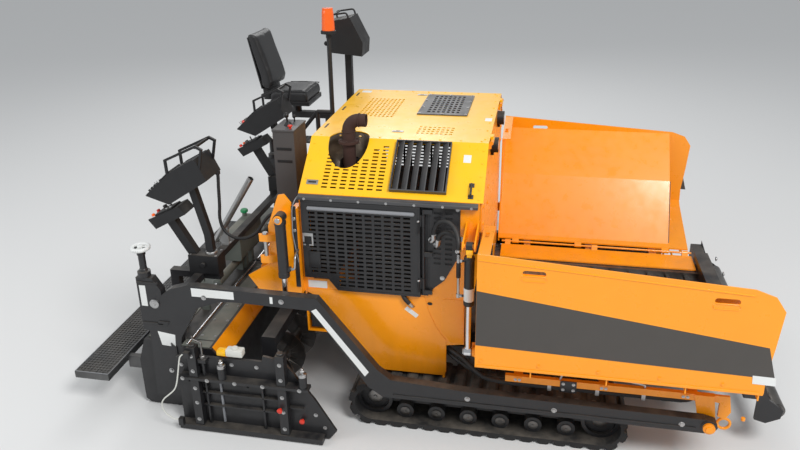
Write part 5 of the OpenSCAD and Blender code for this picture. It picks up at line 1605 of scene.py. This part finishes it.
def console_layers(side, middle):
    """side is -1 for the right console. middle is the y of its centre."""
    def y(value):
        return middle - side * value

    def span(p, q):
        return sorted((y(p), y(q)))

    def body(bm):
        panel_box(bm, *PANEL, (0.004, 0.254), span(-0.106, 0.116), (0, 0.003))
        panel_box(bm, *PANEL, (0.130, 0.245), span(-0.070, 0.085), (0.003, 0.014), 0.004)
        for t in (0.03, 0.06, 0.09):
            for v in (-0.075, -0.045):
                panel_knob(bm, *PANEL, t, y(v), 0.003, 0.008, 0.014)
        right, left = span(-0.058, 0.058)
        box(bm, (-1.592, right, 1.180), (-1.378, left, 1.1885), 0.003)
        rod(bm, (-1.485, y(-0.058), 1.12), (-1.485, y(-0.078), 1.12), 0.018, 16)
        panel_box(bm, *LOWER, (0.06, 0.21), span(-0.060, 0.070), (0, 0.012), 0.004)
        for p, q in ((-0.108, -0.092), (0.102, 0.118)):
            panel_box(bm, *UPPER, (0.02, 0.20), span(p, q), (-0.02, 0.004), 0.003)

    def display(bm):
        panel_box(bm, *PANEL, (0.142, 0.233), span(-0.058, 0.073), (0.014, 0.0148), 0)

    def metal(bm):
        rod(bm, (-1.443, y(0), 1.186), (-1.443, y(0), 1.206), 0.042, 24)
        for v in (0.012, 0.042, 0.072):
            panel_knob(bm, *PANEL, 0.040, y(v), 0.003, 0.007, 0.010, 12)
            panel_knob(bm, *PANEL, 0.040, y(v), 0.012, 0.003, 0.022, 8)
        right, left = span(-0.020, 0.020)
        box(bm, (-1.600, right, 1.150), (-1.594, left, 1.176), 0.002)

    def white(bm):
        panel_box(bm, *LOWER, (0.005, 0.055), span(-0.060, 0.070), (0, 0.0025), 0)
        for t in (0.155, 0.190):
            panel_knob(bm, *LOWER, t, y(-0.035), 0.012, 0.009, 0.008)

    def red(bm):
        panel_knob(bm, *LOWER, 0.030, y(0.045), 0.0025, 0.013, 0.020, 18, 0.016)
        panel_knob(bm, *PANEL, 0.085, y(0.095), 0.003, 0.012, 0.020, 18, 0.015)

    def amber(bm):
        panel_knob(bm, *LOWER, 0.030, y(-0.030), 0.0025, 0.012, 0.018)

    def black(bm):
        panel_knob(bm, *LOWER, 0.100, y(0.04), 0.012, 0.016, 0.022, 20)
        panel_knob(bm, *LOWER, 0.150, y(0.04), 0.012, 0.006, 0.040, 12)
        panel_knob(bm, *PANEL, 0.085, y(0.055), 0.003, 0.013, 0.020)
        panel_knob(bm, *PANEL, 0.085, y(0.018), 0.003, 0.013, 0.020)
    return (("black_plastic", body), ("screen", display), ("zinc", metal), ("white_label", white),
            ("red_plastic", red), ("amber", amber), ("cabinet_plastic", black))


piece("console_dress_right", "screed", *console_layers(-1, -1.020))
piece("console_dress_left", "screed", *console_layers(1, 0.560))
base_screws = [((x, y, 1.1885), UP) for x in (-1.580, -1.392) for y in (-1.068, -0.972, 0.512, 0.608)]
fasteners("console_screws", "screed", "zinc", base_screws, 0.006, 0.004, 0.009)
print("consoles dressed")

# %% [markdown]
# ### The operator's station
#
# A control cabinet with its levers stands behind the hood. The driver's panel is on a post at the far side,
# by the seat, under a wire guard.

# %% Control cabinet
def knob_stick(bm, foot, tip, stick, ball):
    rod(bm, foot, tip, stick, 12)
    centre = Vector(tip)
    axis = (centre - Vector(foot)).normalized()
    profile = [(0, 0.3), (0.4, 0.8), (1, 1), (1.6, 0.8), (2, 0.2)]
    lathe(bm, centre - axis * ball, axis, [(ball * t, ball * r) for t, r in profile], 18)


def cabinet_body(bm):
    box(bm, (-1.236, -0.236, 1.846), (-1.054, 0.066, 1.864), 0.006)
    box(bm, (-1.2325, -0.200, 1.32), (-1.2295, 0.030, 1.80), 0.002)
    box(bm, (-1.244, 0.116, 1.440), (-1.076, 0.404, 1.456), 0.005)
    for z in (1.40, 1.76):
        rod(bm, (-1.234, 0.034, z), (-1.234, 0.034, z + 0.05), 0.007, 12)


def cabinet_dark(bm):
    for z in (1.60, 1.70):
        box(bm, (-1.205, -0.2335, z), (-1.085, -0.2295, z + 0.022), 0.001)
    knob_stick(bm, (-1.145, -0.10, 1.860), (-1.155, -0.105, 1.945), 0.008, 0.022)
    boot = [(0, 0.034), (0.006, 0.034), (0.016, 0.024), (0.026, 0.020), (0.034, 0.012)]
    lathe(bm, (-1.145, -0.10, 1.862), UP, boot, 20)
    for x in (-1.190, -1.130):
        knob_stick(bm, (x, 0.01, 1.860), (x - 0.002, 0.01, 1.905), 0.006, 0.015)
    box(bm, (-1.236, -0.12, 1.50), (-1.2315, -0.08, 1.54), 0.001)


def cabinet_red(bm):
    x, y = -1.100, -0.185
    rod(bm, (x, y, 1.862), (x, y, 1.880), 0.011, 16)
    rod(bm, (x, y, 1.878), (x, y, 1.892), 0.020, 20, 0.005)


piece("cabinet_dress", "chassis", ("cabinet_plastic", cabinet_body), ("black_plastic", cabinet_dark),
      ("red_plastic", cabinet_red))
print("cabinet dressed")

# %% Driver's console
REAR_FACE = ((-1.105, 2.230), (-1.100, 2.500))
GUARD_SIDES = (0.970, 1.230)


def driver_black(bm):
    panel_box(bm, *REAR_FACE, (0.012, 0.258), (0.975, 1.225), (0, 0.006), 0.003)
    panel_box(bm, *REAR_FACE, (0.125, 0.240), (1.000, 1.160), (0.006, 0.018), 0.004)
    for v in (1.01, 1.05, 1.09, 1.13, 1.17):
        panel_knob(bm, *REAR_FACE, 0.045, v, 0.006, 0.010, 0.016)
    panel_knob(bm, *REAR_FACE, 0.095, 1.20, 0.006, 0.015, 0.022, 20)
    for y in GUARD_SIDES:
        hoop = [(-1.088, 2.496), (-1.095, 2.556), (-0.930, 2.580), (-0.915, 2.532)]
        bent_bar(bm, [(x, y, z) for x, z in hoop], 0.008, 0.03)
    rod(bm, (-1.05, GUARD_SIDES[0], 2.563), (-1.05, GUARD_SIDES[1], 2.563), 0.007, 12)
    knob_stick(bm, (-1.135, 1.100, 2.225), (-1.165, 1.100, 2.285), 0.008, 0.022)
    box(bm, (-1.150, 1.070, 2.205), (-1.098, 1.130, 2.235), 0.006)


def driver_screen(bm):
    panel_box(bm, *REAR_FACE, (0.135, 0.230), (1.010, 1.150), (0.018, 0.0188), 0)


def driver_metal(bm):
    for z in (1.262, 1.60):
        box(bm, (-1.014, 1.146, z), (-0.946, 1.214, z + 0.012), 0.002)


piece("driver_dress", "chassis", ("black_plastic", driver_black), ("screen", driver_screen),
      ("zinc", driver_metal))
print("driver's console dressed")

# %% [markdown]
# The beacon's lens is a lathed cone whose radius swells and shrinks by turns, which gives the ribs that
# spread its light. Flanges under the rail's posts and grip strips finish the deck.

# %% Beacon, rail flanges and foot grips
POLE_X, POLE_Y, DECK_Z = -1.035, 0.750, 1.249


def beacon_base(bm):
    lathe(bm, (POLE_X, POLE_Y, 2.432), UP, [(0, 0.028), (0.004, 0.066), (0.026, 0.066), (0.032, 0.058)], 32)
    rod(bm, (POLE_X, POLE_Y, 2.395), (POLE_X, POLE_Y, 2.436), 0.024, 20)


def beacon_lens(bm):
    ribs = [(0.012 + 0.012 * i, 0.0562 - 0.0006 * i + (0.0012 if i % 2 else 0)) for i in range(13)]
    profile = [(0, 0.0556)] + ribs + [(0.176, 0.046), (0.186, 0.034), (0.188, 0.004)]
    lathe(bm, (POLE_X, POLE_Y, 2.462), UP, profile, 36)


piece("beacon_dress", "chassis", ("black_plastic", beacon_base), ("amber", beacon_lens))


def rail_flanges(bm):
    flange = [(0, 0.020), (0.001, 0.045), (0.010, 0.045), (0.014, 0.024), (0.020, 0.020)]
    for x in (-1.174, POLE_X):
        lathe(bm, (x, POLE_Y, DECK_Z), UP, flange, 24)
    small = [(0, 0.016), (0.001, 0.036), (0.008, 0.036), (0.012, 0.018), (0.016, 0.016)]
    lathe(bm, (-1.230, 0.850, DECK_Z), UP, small, 20)


def foot_grip(bm):
    # Strips on the step and on the deck, where the two foremost reach further to the right
    for i in range(8):
        x = -1.43 + i * 0.035
        box(bm, (x, 0.755, 1.4515), (x + 0.018, 0.918, 1.4545), 0.001)
    for i in range(12):
        x, right = -1.215 + i * 0.021, -0.21 if i > 9 else 0.45
        box(bm, (x, right, DECK_Z + 0.0005), (x + 0.008, 0.70, DECK_Z + 0.0035), 0.001)


piece("rail_dress", "chassis", ("black_enamel", rail_flanges), ("tread_metal", foot_grip))
print("operator's station dressed")

# %% [markdown]
# ## The seat
#
# The cushion and the back are swelled by a cloth simulation with air pressure, from slightly smaller
# shapes, so they crown between their corners. The piping is laid on after it.

# %% Cloth simulation for a padded form
VOXEL, QUICK_VOXEL, LAST_FRAME = 0.008, 0.012, 20


def evaluated_mesh(made):
    """The mesh of an object with its modifiers applied."""
    return bpy.data.meshes.new_from_object(made.evaluated_get(bpy.context.evaluated_depsgraph_get()))


def pillow(name, draw, pressure, cap):
    """A closed form swelled by cloth simulation, with no point moved further than cap."""
    bm = bmesh.new()
    draw(bm)
    bmesh.ops.recalc_face_normals(bm, faces=bm.faces)
    mesh = bpy.data.meshes.new(name)
    bm.to_mesh(mesh)
    bm.free()
    pad = bpy.data.objects.new(name, mesh)
    scene.collection.objects.link(pad)
    grid = pad.modifiers.new("grid", "REMESH")
    grid.mode = "VOXEL"
    grid.voxel_size = VOXEL
    bpy.context.view_layer.update()
    ready = evaluated_mesh(pad)
    pad.modifiers.clear()
    pad.data = ready
    start = [v.co.copy() for v in ready.vertices]
    cloth = pad.modifiers.new("cloth", "CLOTH")
    cloth.settings.use_pressure = True
    cloth.settings.uniform_pressure_force = pressure
    cloth.settings.effector_weights.gravity = 0
    cloth.settings.quality = 6
    cloth.point_cache.frame_start, cloth.point_cache.frame_end = 1, LAST_FRAME
    for frame_number in range(1, LAST_FRAME + 1):
        scene.frame_set(frame_number)
    ready = evaluated_mesh(pad)
    pad.modifiers.clear()
    pad.data = ready
    for v, first in zip(ready.vertices, start):
        moved = v.co - first
        if moved.length > cap:
            v.co = first + moved.normalized() * cap
    scene.frame_set(1)
    soften = pad.modifiers.new("soften", "SMOOTH")
    soften.iterations = 6
    finer = pad.modifiers.new("finer", "SUBSURF")
    finer.levels = 1
    bpy.context.view_layer.update()
    ready = evaluated_mesh(pad)
    bpy.data.objects.remove(pad)
    return ready


# %% The seat's cushion, back, piping and shell
SEAT_Y, EDGE_Y, PIPING, PRESSURE = 1.255, 0.205, 0.004, 4.0


def seat_prism(bm, outline, half_width, bevel):
    """An outline of the seat in x and z, given its width about the seat's middle."""
    prism(bm, outline, "y", SEAT_Y - half_width, SEAT_Y + half_width, bevel)


def cushion_shape(bm):
    seat_prism(bm, [(-1.740, 1.738), (-1.352, 1.738), (-1.345, 1.768), (-1.352, 1.820), (-1.390, 1.836),
                    (-1.700, 1.824), (-1.742, 1.800)], 0.222, 0.018)


def back_shape(bm):
    seat_prism(bm, [(-1.722, 1.842), (-1.706, 1.90), (-1.730, 2.02), (-1.838, 2.355), (-1.865, 2.372),
                    (-1.908, 2.366), (-1.905, 2.34), (-1.815, 1.98), (-1.795, 1.862)], 0.215, 0.016)


def seat_piping(bm):
    # Along the cushion's sides and front edge, and up both sides of the back
    cushion_edge = [(-1.372, 1.838), (-1.50, 1.841), (-1.66, 1.836)]
    back_edge = [(-1.712, 1.915), (-1.738, 2.02), (-1.790, 2.18), (-1.838, 2.335)]
    for y in (SEAT_Y - EDGE_Y, SEAT_Y + EDGE_Y):
        for edge in (cushion_edge, back_edge):
            tube(bm, smooth_path([(x, y, z) for x, z in edge], 6), PIPING, 8)
    tube(bm, [(-1.368, SEAT_Y + t, 1.838) for t in (-EDGE_Y, -0.1, 0, 0.1, EDGE_Y)], PIPING, 8)


def seat_shell(bm):
    # A pressed pan under the cushion, a board behind the back and the bracket between them
    box(bm, (-1.735, SEAT_Y - EDGE_Y, 1.7165), (-1.350, SEAT_Y + EDGE_Y, 1.742), 0.006)
    seat_prism(bm, [(-1.815, 1.85), (-1.800, 1.85), (-1.905, 2.33), (-1.918, 2.33)], 0.19, 0.004)
    seat_prism(bm, [(-1.808, 1.742), (-1.740, 1.742), (-1.770, 1.90), (-1.815, 1.90)], 0.16, 0.006)


for name, shape, cap in (("seat_pad", cushion_shape, 0.016), ("seat_back", back_shape, 0.014)):
    made = bpy.data.objects.new(name, pillow(name, shape, PRESSURE, cap))
    scene.collection.objects.link(made)
    made.data.materials.clear()
    made.data.materials.append(looks["seat_vinyl"])
    smooth(made.data, 80)
    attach(made, "seat")
    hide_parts("seat_cushion")
    corners = [[round(v, 3) for v in made.bound_box[i]] for i in (0, 6)]
    print(name, len(made.data.polygons), "faces", *corners)
piece("seat_piping", "seat", ("seat_vinyl", seat_piping))
piece("seat_shell", "seat", ("black_plastic", seat_shell))

# %% [markdown]
# ## Hopper, tracks and front
#
# The wings' outer faces carry a dark stripe that tapers towards the front, laid on as a thin plate. A round
# bar folds the upper edge over, gussets hold the lower one, and the lifting slots have rims.

# %% Hopper wings
WING_FACE = 1.490


def wing_layers(sign):
    def stripe(bm):
        outline = [(0.464, 0.943), (2.170, 0.902), (2.112, 1.104), (0.464, 1.318)]
        plate_on_side(bm, outline, sign, WING_FACE, 0.0012, 0)

    def lip(bm):
        # The folded upper edge, a strip along the lower one, its gussets and the rims of the slots
        rod(bm, (0.470, sign * 1.488, 1.522), (1.990, sign * 1.488, 1.4255), 0.0065, 8)
        side_box(bm, 0.474, 2.10, 0.786, 0.806, sign, WING_FACE, WING_FACE + 0.004, 0.001)
        for x in (0.80, 1.25, 1.70, 2.10):
            gusset = [(sign * 1.484, 0.796), (sign * 1.405, 0.755), (sign * 1.484, 0.740)]
            prism(bm, gusset, "x", x, x + 0.008)
        for x, z in ((0.793, 1.425), (1.853, 1.345)):
            rim = oval((x, sign * (WING_FACE + 0.0005), z), 0.144, 0.034, AHEAD, UP)
            tube(bm, rim + rim[:1], 0.0032, 6)
    return ("stripe_brown", stripe), ("orange_enamel", lip)


both_sides("wing_dress", "wing_SIDE", wing_layers)


def wing_patch(bm):
    outline = [(2.055, 0.860), (2.180, 0.857), (2.174, 0.912), (2.050, 0.915)]
    plate_on_side(bm, outline, -1, WING_FACE + 0.0012, 0.0012, 0)


piece("wing_patch", "wing_right", ("white_label", wing_patch))
for s, word in SIDES:
    wing_bolts = [((x, s * WING_FACE, 0.835), (0, s, 0)) for x in (0.50, 0.85, 1.2, 1.55, 1.9)]
    fasteners("wing_bolts_" + word, "wing_" + word, "orange_enamel", wing_bolts, 0.009, 0.006, 0.014)

# %% Wing lugs and the liners' bars
LUG_Z = 0.730


def lug_layers(sign):
    y = sign * WING_CYLINDER_Y

    def steel(bm):
        rod(bm, (0.437, y, LUG_Z), (0.468, y, LUG_Z), 0.036, 20)
        side_box(bm, 0.420, 0.462, 0.690, 0.775, sign, 1.205, 1.217, 0.002)

    def pin(bm):
        rod(bm, (0.362, y, LUG_Z), (0.374, y, LUG_Z), 0.020, 6)
    return ("orange_enamel", steel), ("zinc", pin)


both_sides("wing_lug_dress", "wing_SIDE", lug_layers)


def liner_layers(sign):
    def bars(bm):
        # Wear bars up the wing's inner slope, at shares of its length
        rear, front = 0.48, 2.25
        for share in (0.16, 0.5, 0.84):
            x = rear + share * (front - rear)
            rod(bm, (x, sign * 0.905, 0.596), (x, sign * 1.188, 1.082), 0.006, 8)
    return (("worn_steel", bars),)


both_sides("liner_bars", "wing_SIDE", liner_layers)
print("wings dressed")

# %% [markdown]
# The sill under each wing carries a bent grab bar, brackets and bolts. The front has a capped pin at each
# tow arm, two work lamps on the bulkhead and the push rollers' worn ends.

# %% Sills, front brackets and lamps
SILL_FACE, BRACKET_FACE, GRIP_FACE = 1.2205, 1.2265, 1.2245
LAMP_SIDES, LAMP_Z = (-0.350, 0.350), 1.860


def sill_layers(sign):
    def strut(bm):
        bar = [(1.00, 1.205, 0.556), (1.02, 1.212, 0.600), (1.10, 1.214, 0.616), (1.35, 1.214, 0.602),
               (1.51, 1.208, 0.580), (1.53, 1.204, 0.556)]
        tube(bm, smooth_path([(x, sign * y, z) for x, y, z in bar], 6), 0.009, 12)

    def bracket(bm):
        side_box(bm, 1.000, 1.105, 0.470, 0.556, sign, SILL_FACE, BRACKET_FACE, 0.002)

    def grips(bm):
        for x in (0.70, 1.25, 1.75):
            side_box(bm, x, x + 0.05, 0.512, 0.549, sign, SILL_FACE, GRIP_FACE, 0.002)
    return ("zinc", strut), ("black_enamel", bracket), ("orange_enamel", grips)


both_sides("sill_dress", "chassis", sill_layers)
sill_bolts = []
for s in (-1, 1):
    sill_bolts += [((x, s * BRACKET_FACE, z), (0, s, 0)) for x in (1.02, 1.085) for z in (0.49, 0.535)]
    sill_bolts += [((x, s * GRIP_FACE, 0.530), (0, s, 0)) for x in (0.712, 0.738, 1.262, 1.288, 1.762, 1.788)]
fasteners("sill_bolts", "chassis", "zinc", sill_bolts, 0.007, 0.005, 0.011)


def front_pins(bm):
    cap = [(0, 0.030), (0.003, 0.030), (0.004, 0.024), (0.012, 0.022), (0.014, 0.006)]
    for s in (-1, 1):
        lathe(bm, (ARM_PIN_X, s * 1.3165, ARM_PIN_Z), (0, s, 0), cap, 24)
        head = [(0, 0.010), (0.002, 0.013), (0.020, 0.013), (0.022, 0.010)]
        lathe(bm, (2.140, s * 1.205, 0.383), UP, head, 16)


piece("front_pins", "chassis", ("orange_enamel", front_pins))


def lamp_bezels(bm):
    for y in LAMP_SIDES:
        pipe(bm, (0.446, y, LAMP_Z), (0.501, y, LAMP_Z), 0.0545, 0.047, 32)
        box(bm, (0.446, y - 0.012, 1.785), (0.470, y + 0.012, 1.812), 0.003)


def lamp_lenses(bm):
    glass = [(0, 0.0472), (0.001, 0.0465), (0.004, 0.036), (0.006, 0.018), (0.0065, 0.002)]
    for y in LAMP_SIDES:
        lathe(bm, (0.496, y, LAMP_Z), AHEAD, glass, 32)


piece("lamps", "chassis", ("black_plastic", lamp_bezels), ("lamp_glass", lamp_lenses))

bulkhead_bolts = [((0.4475, y, z), AHEAD) for y in (-0.92, -0.55, 0.55, 0.92) for z in (1.50, 1.62)]
fasteners("bulkhead_bolts", "chassis", "orange_enamel", bulkhead_bolts, 0.010, 0.007, 0.016)


def roller_layers(sign):
    def ends(bm):
        disc = [(0, 0.050), (0.004, 0.050), (0.006, 0.044), (0.006, 0.020)]
        for y, out in ((0.255, -1), (0.985, 1)):
            lathe(bm, (2.405, sign * y, 0.320), (0, sign * out, 0), disc, 28)
    return (("worn_steel", ends),)


both_sides("roller_dress", "push_roller_SIDE", roller_layers)
beam_bolts = [((2.3305, y, z), AHEAD) for y in (-0.70, -0.42, -0.14, 0.14, 0.42, 0.70) for z in (0.58, 0.40)]
fasteners("beam_bolts", "chassis", "zinc", beam_bolts, 0.013, 0.009, 0.020)
print("front dressed")

# %% [markdown]
# Each track shoe is held by bolts, placed by the same walk along the loop as the shoes themselves: along the
# ground, round the front wheel, back along the top and round the rear wheel. The shoes that lie on the
# ground get none, since nothing of their bolts can be seen.

# %% Track bolts and wheel hubs
REAR_AXLE, AXLES, TRACK_R, LOOP_R, SHOES, GAUGE = -0.270, 1.560, 0.175, 0.151, 36, 1.020
ROLLERS = 6


def on_loop(s):
    """x, z and the direction outwards, s metres along the shoes' loop from the ground run's rear end."""
    arc = math.pi * LOOP_R
    if s < AXLES:
        return REAR_AXLE + s, TRACK_R - LOOP_R, (0.0, -1.0)
    if s < AXLES + arc:
        a, x = (s - AXLES) / LOOP_R - math.pi, REAR_AXLE + AXLES
    elif s < 2 * AXLES + arc:
        return REAR_AXLE + AXLES - (s - AXLES - arc), TRACK_R + LOOP_R, (0.0, 1.0)
    else:
        a, x = (s - 2 * AXLES - arc) / LOOP_R, REAR_AXLE
    out = (-math.sin(a), math.cos(a))
    return x + LOOP_R * out[0], TRACK_R + LOOP_R * out[1], out


shoe_bolts = []
for i in range(SHOES):
    x, z, out = on_loop((i + 0.5) * 2 * (AXLES + math.pi * LOOP_R) / SHOES)
    if out[1] < -0.6:
        continue
    for y in (-GAUGE - 0.11, -GAUGE + 0.11, GAUGE - 0.11, GAUGE + 0.11):
        shoe_bolts.append(((x + 0.0235 * out[0], y, z + 0.0235 * out[1]), (out[0], 0.0, out[1])))
fasteners("shoe_bolts", "chassis", "worn_steel", shoe_bolts, 0.012, 0.007, 0.017)


def wheel_hubs(bm):
    hub = [(0, 0.052), (0.012, 0.052), (0.016, 0.046), (0.016, 0.014), (0.022, 0.010)]
    cap = [(0, 0.034), (0.006, 0.034), (0.009, 0.028), (0.009, 0.010), (0.012, 0.008)]
    for s in (-1, 1):
        for x in (REAR_AXLE, REAR_AXLE + AXLES):
            lathe(bm, (x, s * 1.082, TRACK_R), (0, s, 0), hub, 28)
        for i in range(1, ROLLERS + 1):
            lathe(bm, (REAR_AXLE + i * AXLES / (ROLLERS + 1), s * 1.129, 0.1063), (0, s, 0), cap, 20)


piece("wheel_hubs", "chassis", ("worn_steel", wheel_hubs))
print(len(shoe_bolts), "shoe bolts")
